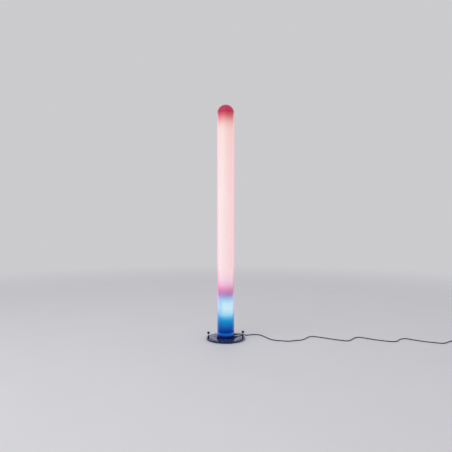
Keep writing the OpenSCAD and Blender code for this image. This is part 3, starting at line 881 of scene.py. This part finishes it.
RING_LIGHT = LitDiffuser(
    "lit_ring_acrylic",
    (1, 1, 1),
    roughness=0.3,
    bands=((0.036, 0.01, 0.21, 0.39), (0.048, 0.01, 0.28, 0.47), (0.06, 0.004, 0.11, 0.28)),
    low=0.03,
    high=0.065,
)
CAP_LIGHT = LitDiffuser(
    "lit_cap_acrylic",
    (1, 1, 1),
    roughness=0.35,
    bands=((1.8, 0.66, 0.2, 0.19), (1.811, 0.74, 0.3, 0.23)),
    low=1.79,
    high=1.815,
)
TUBE = ClearAcrylic("clear_tube_acrylic", (1, 1, 1), painted_light_tints=TUBE_PAINTED_TINT, glow=TUBE_GLOW, glow_right=TUBE_GLOW_RIGHT)
BASE_GLASS = TintedGlass("base_glass", (0.34, 0.42, 0.80), edge=(0.02, 0.04, 0.24))
DRUM_PAINT = DrumPaint(
    "drum_gloss_paint", (0.002, 0.012, 0.165), 0.24, coat=0.06, cloud=0.15,
    grain_scale=420, grain_strength=0.12, specular=0.25,
)
BLACK_RUBBER = Rubber("black_rubber", (0.018, 0.018, 0.02))
SHEATH = Rubber("lead_sheath", (0.016, 0.01, 0.034), 0.42, cloud=0.2, cloud_scale=30, grain_strength=0.12, dust=0.05)
RELIEF = Rubber("relief_rubber", (0.014, 0.012, 0.024), 0.5)
PLUG_SHELL = Finish("plug_shell", (0.018, 0.014, 0.03), 0.42, cloud=0.12, grain_scale=2600, grain_strength=0.4)
BLACK_STEEL = Metal("blackened_steel", (0.05, 0.045, 0.07), 0.36)
ZINC = Metal("zinc_plate", (0.62, 0.63, 0.66), 0.3)
BALLAST = Finish(
    "raw_ballast_steel", (0.2, 0.19, 0.19), 0.55, metallic=0.8, cloud=0.25, grain_scale=500, grain_strength=0.6
)
ALUMINIUM = Metal("satin_aluminium", (0.78, 0.79, 0.82), 0.3)
WHITE_PAINT = Finish("white_reflector_paint", (0.84, 0.84, 0.85), 0.38, coat=0.2, grain_scale=600, grain_strength=0.2)
WHITE_PLASTIC = Finish("white_moulded_plastic", (0.8, 0.8, 0.79), 0.42, grain_scale=3000)
BLACK_PLASTIC = Finish("black_moulded_plastic", (0.012, 0.011, 0.018), 0.36, grain_scale=2600, grain_strength=0.4)
KNOB_PLASTIC = Finish("knob_plastic", (0.02, 0.006, 0.035), 0.34, grain_scale=2600, grain_strength=0.35)
BOARD = Finish("circuit_board", (0.02, 0.16, 0.07), 0.3, coat=0.4, cloud=0.3, cloud_scale=260)
BRASS = Metal("turned_brass", (0.72, 0.52, 0.22), 0.25)
PIN_METAL = Metal("nickel_pins", (0.74, 0.73, 0.71), 0.18)
WIRES = Finish("wire_insulation", (0.32, 0.05, 0.08), 0.4, cloud=0.3, cloud_scale=120)
RED_GLASS = LampGlass("red_lamp_glass", (1.0, 0.2, 0.24), 0.2, low=0.4, high=1.79)
GREEN_GLASS = LampGlass("green_lamp_glass", (0.25, 1.0, 0.35), 0.2, low=0.4, high=1.79)
BLUE_GLASS = LampGlass("blue_lamp_glass", (0.15, 0.35, 1.0), 0.2, low=0.16, high=1.79)


# --- Sizes in millimetres, angles in degrees and places that several pieces share ---

TUBE_REACH = 67.5
LEVEL_REACH = 137.0
LEAD_TURN = 32.0
LEAD_HEIGHT = 26.0
BOLTS = [standing(angle, 75.0) for angle in (90, 210, 330)]
TUBE_SCREWS = [facing(angle, 0, 40.5) for angle in (0, 120, 240)]


class Side(Enum):
    """The two levelling screws, by the angle of each."""

    RIGHT = 6.0
    LEFT = 186.0

    def place(self) -> Matrix:
        """The place of the screw's axis."""
        return standing(self.value, LEVEL_REACH)


# --- Studio ---


@dataclass
class Studio:
    """The photograph's camera, a pale floor and plain soft light."""

    camera_x: float = 0.002
    camera_y: float = -3.481
    camera_z: float = 0.8947
    lens: float = 35.0
    sensor: float = 36.0
    clip: Pair = (0.05, 60)
    tone: Colour = (0.60, 0.60, 0.62)
    floor_tone: Colour = (0.80, 0.80, 0.82)
    floor_reach: float = 14.0
    fade_from: float = 3.0
    fade_to: float = 7.0
    box_size: float = 5.0
    box_power: float = 62.0
    box_place: Point = (-2.2, -2.9, 3.5)
    box_aim: Point = (0, 0, 0.8)

    def camera(self) -> None:
        """Places the level camera in front of the lamp."""
        data = bpy.data.cameras.new("camera")
        data.lens, data.sensor_width, data.sensor_fit = self.lens, self.sensor, "HORIZONTAL"
        data.clip_start, data.clip_end = self.clip
        holder = bpy.data.objects.new("camera", data)
        holder.location = (self.camera_x, self.camera_y, self.camera_z)
        holder.rotation_euler = (math.radians(90), 0, 0)
        bpy.context.scene.collection.objects.link(holder)
        bpy.context.scene.camera = holder

    def light(self) -> None:
        """Adds the even surroundings and one large soft lamp at the upper left."""
        world = bpy.data.worlds.new("studio")
        bpy.context.scene.world = world
        world.use_nodes = True
        world.node_tree.nodes["Background"].inputs["Color"].default_value = (*self.tone, 1)
        data = bpy.data.lights.new("softbox", "AREA")
        data.shape, data.size, data.energy = "DISK", self.box_size, self.box_power
        softbox = bpy.data.objects.new("softbox", data)
        softbox.location = self.box_place
        softbox.visible_camera = False
        softbox.rotation_euler = (Vector(self.box_aim) - softbox.location).to_track_quat("-Z", "Y").to_euler()
        bpy.context.scene.collection.objects.link(softbox)

    def floor(self) -> None:
        """Lays the floor, whose far part takes the colour of the surroundings."""
        clear_selection()
        bpy.ops.mesh.primitive_circle_add(vertices=96, radius=self.floor_reach, fill_type="NGON")
        floor = named("studio_floor")
        graph = Graph("pale_floor")
        x, y, _ = graph.axes()
        far = ((x * x + y * y) ** 0.5).between(self.fade_from, self.fade_to)
        cloud = graph.mix(graph.noise(2.2, 3), shade(self.floor_tone, 0.98), shade(self.floor_tone, 1.02))
        near = graph.node("ShaderNodeBsdfPrincipled", None, {"Base Color": cloud, "Roughness": 0.55})
        away = graph.node("ShaderNodeEmission", None, {"Color": self.tone})
        graph.close(graph.node("ShaderNodeMixShader", None, {0: far, 1: near, 2: away}))
        floor.data.materials.append(graph.material)

    def build(self) -> None:
        """Sets up the whole studio."""
        bpy.context.scene.view_settings.view_transform = "Standard"
        self.camera()
        self.light()
        self.floor()
        LOG.info("studio: camera, softbox and floor")


# --- Mains lead ---


@dataclass
class MainsLead:
    """The lead from its strain relief across the floor to a coil and a two-pin plug."""

    diameter: float = 7.0
    length: float = 2.94
    flange: float = 3.0
    relief: float = 38.0
    fall: tuple[Pair, ...] = ((127.3, 24), (148.5, 20.2), (172.5, 13), (193.7, 5.5))
    waves: tuple[Pair, ...] = (
        (182, 112), (215, 125), (256, 126), (290, 100), (318, 46), (345, -9), (372, -42), (415, -63),
        (490, -79), (545, -58), (592, -44), (628, -6), (662, 45), (700, 66), (745, 46), (790, 17), (840, -19),
        (890, -48), (945, -70), (985, -38), (1020, 12), (1060, 40), (1100, 22), (1150, -20), (1205, -56),
        (1270, -88), (1320, -84), (1350, -50), (1385, -13), (1430, -4), (1470, -42), (1535, -90), (1600, -123),
        (1652, -142), (1700, -112), (1740, -80),
    )
    climb_on: tuple[Point, ...] = ((1772, -70, 4), (1798, -70, 4.4))
    turns: int = 3
    coil: Point = (1805.0, -116.0, 4.4)
    coil_reach: float = 46.0
    pitch: float = 7.6
    climb: float = 0.25
    plug: Point = (1860.0, -70.0, 19.0)
    samples: int = 8
    coil_samples: int = 48
    tail_samples: int = 12

    def outwards(self, reach: float, level: float) -> Vector:
        """The point at a reach from the axis in the direction in which the lead leaves the drum, in millimetres."""
        turn = math.radians(LEAD_TURN)
        return Vector((reach * math.cos(turn), reach * math.sin(turn), level))

    def tip(self) -> Vector:
        """The end of the strain relief, where the lead comes out."""
        return self.outwards(TUBE_REACH + self.flange + self.relief, LEAD_HEIGHT)

    def run(self) -> list[Vector]:
        """The loose waves across the floor, as a smooth curve through the points.

        Returns:
            The points in millimetres.
        """
        fall = [self.outwards(*point) for point in self.fall]
        waves = [Vector((*point, self.diameter / 2)) for point in self.waves]
        route = [self.tip(), *fall, *waves, *map(Vector, self.climb_on)]
        made = [route[0]]
        for i in range(len(route) - 1):
            a, b, c, d = route[max(i - 1, 0)], route[i], route[i + 1], route[min(i + 2, len(route) - 1)]
            for k in range(1, self.samples + 1):
                t = k / self.samples
                point = 0.5 * (
                    2 * b + (c - a) * t + (2 * a - 5 * b + 4 * c - d) * t**2 + (3 * b - a - 3 * c + d) * t**3
                )
                point.z = max(point.z, self.diameter / 2)
                made.append(point)
        return made

    def wound(self) -> list[Vector]:
        """The coil, which winds in on the floor and out again on top.

        Returns:
            The points in millimetres.
        """
        half = self.turns / 2
        made = []
        for i in range(self.turns * self.coil_samples + 1):
            t = i / self.coil_samples
            reach = self.coil_reach - self.pitch * (t if t < half else self.turns - t)
            lift = max(0.0, min(1.0, (t - half + self.climb) / (2 * self.climb)))
            turn = 2 * math.pi * t
            made.append(Vector(self.coil) + Vector((reach * math.sin(turn), reach * math.cos(turn), self.pitch * lift)))
        return made

    def tail(self) -> list[Vector]:
        """The short rise from the coil into the plug's neck.

        Returns:
            The points in millimetres.
        """
        start = Vector((self.coil[0] + 7, self.plug[1], self.coil[2] + self.pitch))
        end = Vector(self.plug) + Vector((4, 0, 0))
        made = []
        for i in range(self.tail_samples + 1):
            t = i / self.tail_samples
            eased_t = t * t * (3 - 2 * t)
            made.append(Vector((start.x + t * (end.x - start.x), start.y, start.z + eased_t * (end.z - start.z))))
        return made

    def cord(self) -> Piece:
        """Lays the round sheath along the whole route.

        Returns:
            The lead as a curve.
        """
        route = self.run() + self.wound() + self.tail()
        data = bpy.data.curves.new("mains_lead", "CURVE")
        data.dimensions, data.bevel_depth, data.bevel_resolution = "3D", self.diameter / 2 * MM, 3
        data.use_fill_caps, data.twist_mode = True, "Z_UP"
        spline = data.splines.new("POLY")
        spline.points.add(len(route) - 1)
        for point, place in zip(spline.points, route):
            point.co = (*(place * MM), 1)
        spline.use_smooth = True
        piece = bpy.data.objects.new("mains_lead", data)
        bpy.context.scene.collection.objects.link(piece)
        data.materials.append(SHEATH.material())
        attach(piece, "lamp")
        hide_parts("cord_run", "cord_coil", "cord_tail")
        LOG.info("%s: modelled, on lamp", piece.name)
        return piece

    def strain_relief(self) -> None:
        """Models the ribbed, tapered sleeve outside the gland."""
        bore, ribs = self.diameter / 2 + 0.1, 9
        corners: Corners = [(bore, 0), (7.0, 0, 0.3), (7.0, 5.0, 0.5)]
        step = (self.relief - 8.5) / ribs
        for i in range(ribs):
            start = 5.6 + i * step
            wide = 6.7 - 2.1 * (i / ribs)
            corners += [(wide - 1.1, start), (wide - 1.1, start + step * 0.36), (wide, start + step * 0.44)]
            corners += [(wide - 0.1, start + step * 0.96)]
        corners += [(4.8, self.relief - 2.4), (4.7, self.relief, 0.5), (bore, self.relief), (bore, 0)]
        sleeve = turned("strain_relief_sleeve", eased(corners, 0.35, 2), 48)
        moved(sleeve, facing(LEAD_TURN, TUBE_REACH + self.flange, LEAD_HEIGHT))
        fitted(sleeve, RELIEF, ["strain_relief"])

    def gland(self) -> None:
        """Models the gland's fluted flange and its barrel through the drum's wall."""
        pattern = [1.0, 1.0, 0.985, 0.93, 0.91, 0.93, 0.985, 1.0]
        bore = self.diameter / 2 + 0.1
        outline = eased([(bore, 0.1), (8.4, 0.1), (8.4, 3.0), (bore, 3.0), (bore, 0.1)], 0.5)
        flange = turned("gland_flange", outline, 96, pattern)
        barrel = turned("gland_barrel", [(bore, -7), (5.45, -7), (5.45, 0.2), (bore, 0.2), (bore, -7)], 48)
        piece = joined("cable_gland", flange, barrel)
        moved(piece, facing(LEAD_TURN, TUBE_REACH, LEAD_HEIGHT))
        fitted(piece, BLACK_PLASTIC, ["cord_gland"])

    def tie(self) -> None:
        """Models the flat strap that holds the turns of the coil."""
        x, y, z = self.coil
        radius = self.diameter / 2
        near = y - (self.coil_reach - self.pitch / 2 + radius + 0.4)
        far = y - (self.coil_reach - self.pitch * self.turns / 2 - radius - 0.4)
        low, high = z - radius - 0.1, z + self.pitch + radius + 0.1
        strap = block("coil_strap", (x - 2.5, near - 0.8, low - 0.75), (x + 2.5, far + 0.8, high + 0.8), 1.6, 4)
        hole = block("strap_hole", (x - 4, near, low), (x + 4, far, high), 1.2, 4)
        cut(strap, hole)
        fitted(strap, BLACK_PLASTIC, ["coil_tie"])

    def plug_shell(self) -> None:
        """Models the round plug with its grip recesses, ribbed neck and a seam."""
        neck: Corners = [(0, 0), (4.9, 0, 0.4)]
        for i in range(4):
            start = 2.2 + i * 4.2
            wide = 5.2 + 0.55 * i
            neck += [(wide, start), (wide - 0.9, start + 0.5), (wide - 0.9, start + 1.7), (wide + 0.2, start + 2.2)]
        neck += [(7.5, 20, 0.6), (14, 23, 2), (19, 29, 4), (19, 38, 0.2), (18.6, 38.3, 0.1), (18.6, 38.9, 0.1)]
        neck += [(19, 39.2, 0.2), (19, 51.0, 0.8), (18, 52, 0.4), (13, 52, 0.3), (12.6, 51.4, 0.2), (0, 51.4)]
        shell = turned("plug_shell", eased(neck, 0.4), 72)
        grips = [block("grip", (side * 21 - 4, -4.2, 32), (side * 21 + 4, 4.2, 56), 1.4, 3) for side in (-1, 1)]
        cut(shell, *grips)
        moved(shell, Matrix.Translation(Vector(self.plug) * MM) @ SIDEWAYS)
        fitted(shell, PLUG_SHELL, ["plug_body"])

    def pins(self) -> None:
        """Models the two round pins, each with a narrow waist above its sleeve."""
        corners = [(0, -1.5), (2.4, -1.5, 0), (2.4, 9.6, 0.1), (2.15, 10, 0.1)]
        corners += [(2.4, 10.4, 0.1), (2.4, 17.4, 0.8), (1.3, 19, 0.6), (0, 19)]
        pin = turned("pin", eased(corners, 0.2), 32)
        plug = Matrix.Translation(Vector(self.plug) * MM)
        places = [plug @ Matrix.Translation((52 * MM, side * 9.5 * MM, 0)) @ SIDEWAYS for side in (-1, 1)]
        fitted(spread("plug_contacts", pin, places), PIN_METAL, ["plug_pins"])

    def build(self) -> None:
        """Builds the lead and all that is on it."""
        lead = self.cord()
        self.tie()
        self.plug_shell()
        self.pins()
        self.strain_relief()
        self.gland()


# --- Base ---


@dataclass
class GlassBase:
    """The round glass disc with its glides, bolts, cover and ballast."""

    reach: float = 152.5
    low: float = 3.0
    top: float = 15.0
    bevel: float = 1.6
    bore: float = 50.0
    glide_reach: float = 130.0
    glide_turns: tuple[float, ...] = (45, 135, 225, 315)

    def disc(self) -> None:
        """Turns the disc with its bevelled rims and drills it."""
        inner = self.reach - self.bevel
        corners = [(100, self.low), (inner, self.low), (self.reach, self.low + self.bevel)]
        corners += [(self.reach, self.top - self.bevel), (inner, self.top), (self.bore, self.top)]
        corners += [(self.bore, self.low), (100, self.low)]
        disc = turned("glass_disc", eased(corners, 0.35, 2), 180)
        drills = bores(3.0, 0, 20, BOLTS) + bores(5.7, 0, 20, [side.place() for side in Side], 48)
        fitted(cut(disc, *drills), BASE_GLASS, ["base_disc"])

    def glides(self) -> None:
        """Moulds the four rubber glides, hollowed underneath."""
        corners = [(0, 0.7), (5.2, 0.7, 0.6), (6.0, 0.05, 0.3), (8.2, 0.05, 0.3)]
        corners += [(9.0, 0.9, 0.4), (9.0, 3.0, 0.1), (0, 3.0)]
        glide = turned("glide", eased(corners, 0.4), 48)
        places = [standing(angle, self.glide_reach) for angle in self.glide_turns]
        fitted(spread("rubber_glides", glide, places), BLACK_RUBBER, ["glides"])

    def bolts(self) -> None:
        """Turns the three socket-head bolts, with knurled heads."""
        corners = [(0, 20.1), (3.4, 20.1), (4.2, 20.5), (4.2, 24.0, 0.3), (3.8, 24.5, 0.3), (0, 24.5)]
        head = turned("head", eased(corners, 0.2), 96, [1.0, 0.98])
        socket = turned("socket", [(0, 22.0), (2.3, 22.0), (2.3, 25), (0, 25)], 6)
        shank = turned("shank", [(0, 0.8), (2.2, 0.8), (2.5, 1.3), (2.5, 20.3), (0, 20.3)], 32)
        bolt = joined("bolt", cut(head, socket), shank)
        fitted(spread("socket_bolts", bolt, BOLTS), BLACK_STEEL, ["disc_bolts"])

    def build(self) -> None:
        """Builds the base."""
        self.disc()
        self.glides()
        self.bolts()
        dress({BLACK_STEEL: "bottom_cover", BALLAST: "ballast_weight", ZINC: "disc_nuts"})


@dataclass
class Drum:
    """The painted drum with its lugs, gasket, seal, tube screws and push button."""

    wall: float = 2.5
    low: float = 16.0
    top: float = 36.0
    roof: float = 33.0
    lug: float = 8.0
    lug_low: float = 16.02  # a hair above low, as undersides in one plane make the union unsteady
    lug_top: float = 20.0
    button_turn: float = 120.0
    button_height: float = 24.5

    def shell(self) -> None:
        """Turns the drum, adds its lugs and bores its holes."""
        inner = TUBE_REACH - self.wall
        corners = [(0, self.roof), (inner, self.roof, 1.5), (inner, self.low), (TUBE_REACH, self.low, 0.3)]
        corners += [(TUBE_REACH, self.top, 0.9), (64.2, self.top, 0.2), (64.2, 44, 0.8), (58.2, 44, 0.4)]
        corners += [(58.2, self.top, 0.4), (0, self.top)]
        drum = turned("drum_shell", eased(corners, 0.4), 144)
        corners = [(0, self.lug_low), (self.lug, self.lug_low, 0.3), (self.lug, self.lug_top, 1.1), (0, self.lug_top)]
        ear = turned("ear", eased(corners, 0.4), 48)
        bridge = block("bridge", (-9.5, -self.lug, self.lug_low), (0, self.lug, self.lug_top), 0.5, 2)
        lug = combined(ear, bridge, "UNION")
        drum = combined(drum, spread("lugs", lug, BOLTS), "UNION")
        tools = bores(2.6, 10, 30, BOLTS) + bores(2.1, 56, 66, TUBE_SCREWS)
        tools += bores(5.6, 60, 72, [facing(LEAD_TURN, 0, LEAD_HEIGHT)], 48)
        tools += bores(5.56, 60, 72, [facing(self.button_turn, 0, self.button_height)], 48)
        fitted(cut(drum, *tools), DRUM_PAINT, ["drum_housing"])

    def tube_screws(self) -> None:
        """Turns the three round-head screws that hold the tube."""
        corners = [(0, 58.7), (1.9, 58.7, 0.3), (1.95, 67.8, 0), (3.5, 67.8, 0.2), (3.4, 68.6, 0.5)]
        corners += [(2.4, 69.6, 0.6), (0, 69.7)]
        socket = turned("socket", [(0, 68.5), (1.25, 68.5), (1.25, 72), (0, 72)], 6)
        screw = cut(turned("screw", eased(corners, 0.4), 40), socket)
        fitted(spread("round_head_screws", screw, TUBE_SCREWS), BLACK_STEEL, ["tube_screws"])

    def push_button(self) -> None:
        """Turns the button with its dished face."""
        corners = [(0, 62.7), (6.4, 62.7, 0.3), (6.4, 64.1, 0.3), (5.48, 64.2, 0.1), (5.48, 70.0, 0.7)]
        corners += [(4.3, 70.0, 0.4), (2.6, 69.3, 1.2), (0, 69.1)]
        face = turned("button_face", eased(corners, 0.3), 64)
        moved(face, facing(self.button_turn, 0, self.button_height))
        fitted(face, BLACK_PLASTIC, ["control_button"], "button")

    def build(self) -> None:
        """Builds the drum and what is in it."""
        self.shell()
        self.tube_screws()
        self.push_button()
        dress({
            BLACK_RUBBER: "drum_gasket tube_seal",
            ZINC: "drum_screws gland_nut",
            BOARD: "control_board",
            BRASS: "board_pillars",
            WHITE_PLASTIC: "terminal_block",
            BLACK_PLASTIC: "button_switch",
            SHEATH: "cord_entry",
        })


# --- Column ---


@dataclass
class ClearTube:
    """The clear tube whose domed top is one piece with it."""

    wall: float = 3.0
    low: float = 37.0
    dome: float = 1787.8

    def dome_arc(self, reach: float, steps: int = 26) -> Outline:
        """The quarter circle from the pole down to the tube's wall."""
        turns = [math.radians(90 * (1 - i / steps)) for i in range(steps + 1)]
        return [(reach * math.cos(t), self.dome + reach * math.sin(t)) for t in turns]

    def build(self) -> None:
        """Forms the tube and drills its screw holes."""
        inner = TUBE_REACH - self.wall
        foot = [(TUBE_REACH, self.low + 5), (TUBE_REACH, self.low, 0.4), (inner, self.low, 0.4), (inner, self.low + 5)]
        outline = self.dome_arc(TUBE_REACH) + eased(foot, 0.4) + self.dome_arc(inner)[::-1]
        tube = turned("domed_tube", outline, 144)
        fitted(cut(tube, *bores(2.3, 62, 70, TUBE_SCREWS)), TUBE, ["outer_tube"])


@dataclass
class Diffuser:
    """The lit column: a fluted diffuser between its light ring and its cap."""

    reach: float = 57.0
    valley: float = 56.3
    inner: float = 54.3
    low: float = 60.0
    top: float = 1804.3
    ribs: int = 90
    ring_low: float = 36.0
    cap_steps: int = 16

    def flutes(self) -> tuple[float, ...]:
        """The shares of the reach that four points of one rib keep."""
        half = 1 - (1 - self.valley / self.reach) * 0.62
        return (1.0, half, self.valley / self.reach, half)

    def column(self) -> None:
        """Draws the fluted diffuser, with a ring every tenth of a metre."""
        rings = [self.low + 0.4] + [100.0 * i for i in range(1, 18 + 1)] + [self.top - 0.4]
        edge = self.reach - 0.3
        outline = [(self.inner, self.low), (edge, self.low), *((self.reach, z) for z in rings)]
        outline += [(edge, self.top), (self.inner, self.top), (self.inner, self.low)]
        piece = turned("prismatic_diffuser", outline, self.ribs * 4, self.flutes())
        fitted(piece, DIFFUSER, ["inner_diffuser"], smooth=20)

    def ring(self) -> None:
        """Turns the light ring with its centring lip."""
        bore, lip, seam = self.inner - 2.2, self.inner - 0.1, (54.6, self.ring_low)
        corners = [seam, (self.reach, self.ring_low), (self.reach, self.low), (lip, self.low, 0.1)]
        corners += [(lip, self.low + 4), (bore, self.low + 4), (bore, self.ring_low), seam]
        ring = turned("light_ring_acrylic", eased(corners, 0.4), 144)
        fitted(ring, RING_LIGHT, ["light_ring"])

    def cap(self) -> None:
        """Turns the shallow cap with its lip."""
        rim, rise, seat = self.valley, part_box("diffuser_cap")[1].z / MM, self.top
        turns = [math.radians(90 * i / self.cap_steps) for i in range(self.cap_steps)]
        arc = [(rim * math.cos(t), seat + 2 + (rise - seat - 2) * math.sin(t) ** 0.7) for t in turns]
        bore, edge = self.inner - 2.2, self.inner - 0.2
        lip = [(bore, seat), (bore, seat - 3), (edge, seat - 3), (edge, seat)]
        outline = [(0, seat), *lip, (rim, seat), *arc, (0, rise)]
        fitted(turned("domed_cap", outline, 144), CAP_LIGHT, ["diffuser_cap"])

    def build(self) -> None:
        """Builds the lit column."""
        self.column()
        self.ring()
        self.cap()


class LightEngine:
    """What stands inside the diffuser: the lamps with their holders, plates, spine and gear."""

    def build(self) -> None:
        """Dresses the CAD's own solids."""
        dress({
            ALUMINIUM: "spine spine_foot long_lamp_caps short_lamp_caps",
            ZINC: "foot_screws hub_screws mounting_rail",
            WHITE_PAINT: "lamp_bracket bulkhead top_plate",
            WHITE_PLASTIC: "lampholders_low lampholders_mid lampholders_base lampholders_top gear_units",
            RED_GLASS: "red_lamp",
            GREEN_GLASS: "green_lamp",
            BLUE_GLASS: "blue_lamp short_lamps",
            WIRES: "wiring_loom",
        })


# --- Levelling screws ---


@dataclass
class LevellingScrew:
    """A knob on a threaded spindle that runs in a bush in the glass, above its own foot pad."""

    side: Side
    pitch: float = 2.0
    thread: float = 3.97
    root: float = 3.3
    bush_top: float = 33.0
    knob_low: float = 45.0
    knob_top: float = 61.0
    knob_reach: float = 10.0
    grooves: int = 10

    def name(self, piece: str) -> str:
        """The piece's name with its side."""
        return f"{self.side.name.lower()}_{piece}"

    def bush(self) -> None:
        """Turns the bush with its bore and a narrow collar."""
        bore = 4.08
        corners = [(bore, 3.2), (5.5, 3.2, 0.4), (5.5, 15.0, 0), (6.5, 15.0, 0.3), (6.5, 17.4, 0.3), (6.1, 17.7, 0.2)]
        corners += [(6.1, 18.3, 0.2), (6.5, 18.6, 0.3), (6.5, self.bush_top, 0.9), (bore, self.bush_top, 0.5)]
        corners += [(bore, 3.2)]
        piece = moved(turned(self.name("threaded_sleeve"), eased(corners, 0.4), 64), self.side.place())
        fitted(piece, BLACK_STEEL, [self.name("bush")])

    def spindle(self) -> None:
        """Winds the thread and trims it to the spindle's length."""
        clear_selection()
        bpy.ops.mesh.primitive_plane_add(size=1, enter_editmode=True)
        bpy.ops.mesh.delete(type="VERT")
        mesh = bmesh.from_edit_mesh(bpy.context.object.data)
        half, root, crest = self.pitch / 2, self.root, self.thread
        line = [(root, 0), (root, 0.25 * half), (crest, 0.85 * half), (crest, 1.15 * half)]
        line += [(root, 1.75 * half), (root, self.pitch)]
        verts = [mesh.verts.new((x * MM, 0, z * MM)) for x, z in line]
        for a, b in zip(verts, verts[1:]):
            mesh.edges.new((a, b))
        bmesh.update_edit_mesh(bpy.context.object.data)
        bpy.ops.object.mode_set(mode="OBJECT")
        helix = named("helix")
        wind = helix.modifiers.new("wind", "SCREW")
        wind.angle, wind.screw_offset, wind.iterations = math.tau, self.pitch * MM, 32
        wind.steps = wind.render_steps = 32
        wind.use_merge_vertices, wind.merge_threshold = True, 1e-5
        bpy.ops.object.modifier_apply(modifier=wind.name)
        closed_up(helix, filled=True)
        blank = turned("blank", [(0, 3.2), (3.2, 3.2), (4.2, 4.2), (4.2, 56.5), (3.4, 57.9), (0, 57.9)], 48)
        combined(helix, blank, "INTERSECT")
        nose = turned("nose", eased([(0, 1.5), (2.2, 1.5), (2.45, 1.9), (2.45, 5), (0, 5)], 0.2), 40)
        piece = moved(joined(self.name("threaded_spindle"), helix, nose), self.side.place())
        fitted(piece, ZINC, [self.name("spindle")], self.name("screw"))

    def groove_pattern(self, steps: int = 16, centre: float = 10.6, radius: float = 1.6) -> list[float]:
        """The shares of the knob's reach round one finger groove.

        Args:
            steps: Points in one groove.
            centre: Reach of the groove's centre in millimetres.
            radius: The groove's radius.

        Returns:
            The shares.
        """
        shares = []
        for i in range(steps):
            turn = math.radians(360 / self.grooves * (i / steps - 0.5))
            side = centre * math.sin(turn)
            reach = centre * math.cos(turn) - math.sqrt(radius**2 - side**2) if abs(side) < radius else self.knob_reach
            shares.append(round(min(1.0, reach / self.knob_reach), 4))
        return shares

    def knob(self) -> None:
        """Moulds the knob with its finger grooves, a recessed top and a bore for the spindle."""
        low, top, reach = self.knob_low, self.knob_top, self.knob_reach
        corners = [(0, top - 2.95), (4.06, top - 2.95, 0), (4.06, low, 0.3), (reach - 1.2, low, 0.4)]
        corners += [(reach, low + 1.2, 0.5), (reach, top - 2.0, 0.9), (reach - 1.9, top - 0.3, 0.9), (6.4, top, 0.6)]
        corners += [(5.7, top - 0.7, 0.4), (2.0, top - 0.7, 0.4), (0, top - 0.3)]
        pattern = self.groove_pattern()
        body = turned(self.name("grooved_knob"), eased(corners, 0.4), self.grooves * len(pattern), pattern)
        piece = moved(body, self.side.place())
        fitted(piece, KNOB_PLASTIC, [self.name("knob")], self.name("screw"), 40)

    def pad(self) -> None:
        """Moulds the foot pad with rings under it and a seat for the spindle's nose."""
        corners = [(0, 1.0), (2.5, 1.0, 0.1), (3.0, 0.62, 0.1), (4.6, 0.62, 0.1), (5.1, 1.0, 0.1), (6.1, 1.0, 0.1)]
        corners += [(6.6, 0.62, 0.1), (10.2, 0.62, 0.3), (11.0, 1.3, 0.4), (10.8, 2.5, 0.3), (9.0, 2.68, 0.2)]
        corners += [(2.6, 2.68, 0.1), (2.56, 1.42, 0), (0, 1.42)]
        piece = moved(turned(self.name("foot_disc"), eased(corners, 0.2, 2), 56), self.side.place())
        fitted(piece, BLACK_RUBBER, [self.name("pad")], self.name("foot"))

    def build(self) -> None:
        """Builds one levelling screw."""
        self.bush()
        self.spindle()
        self.knob()
        self.pad()


# --- The whole lamp ---


def main() -> None:
    """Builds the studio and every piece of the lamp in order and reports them."""
    logging.basicConfig(level=logging.INFO, format="%(name)s: %(message)s")
    Studio().build()
    column = [MainsLead(), GlassBase(), Drum(), ClearTube(), Diffuser(), LightEngine()]
    for maker in [*column, LevellingScrew(Side.LEFT), LevellingScrew(Side.RIGHT)]:
        LOG.info("building %s", type(maker).__name__)
        maker.build()


if __name__ == "__main__":
    main()
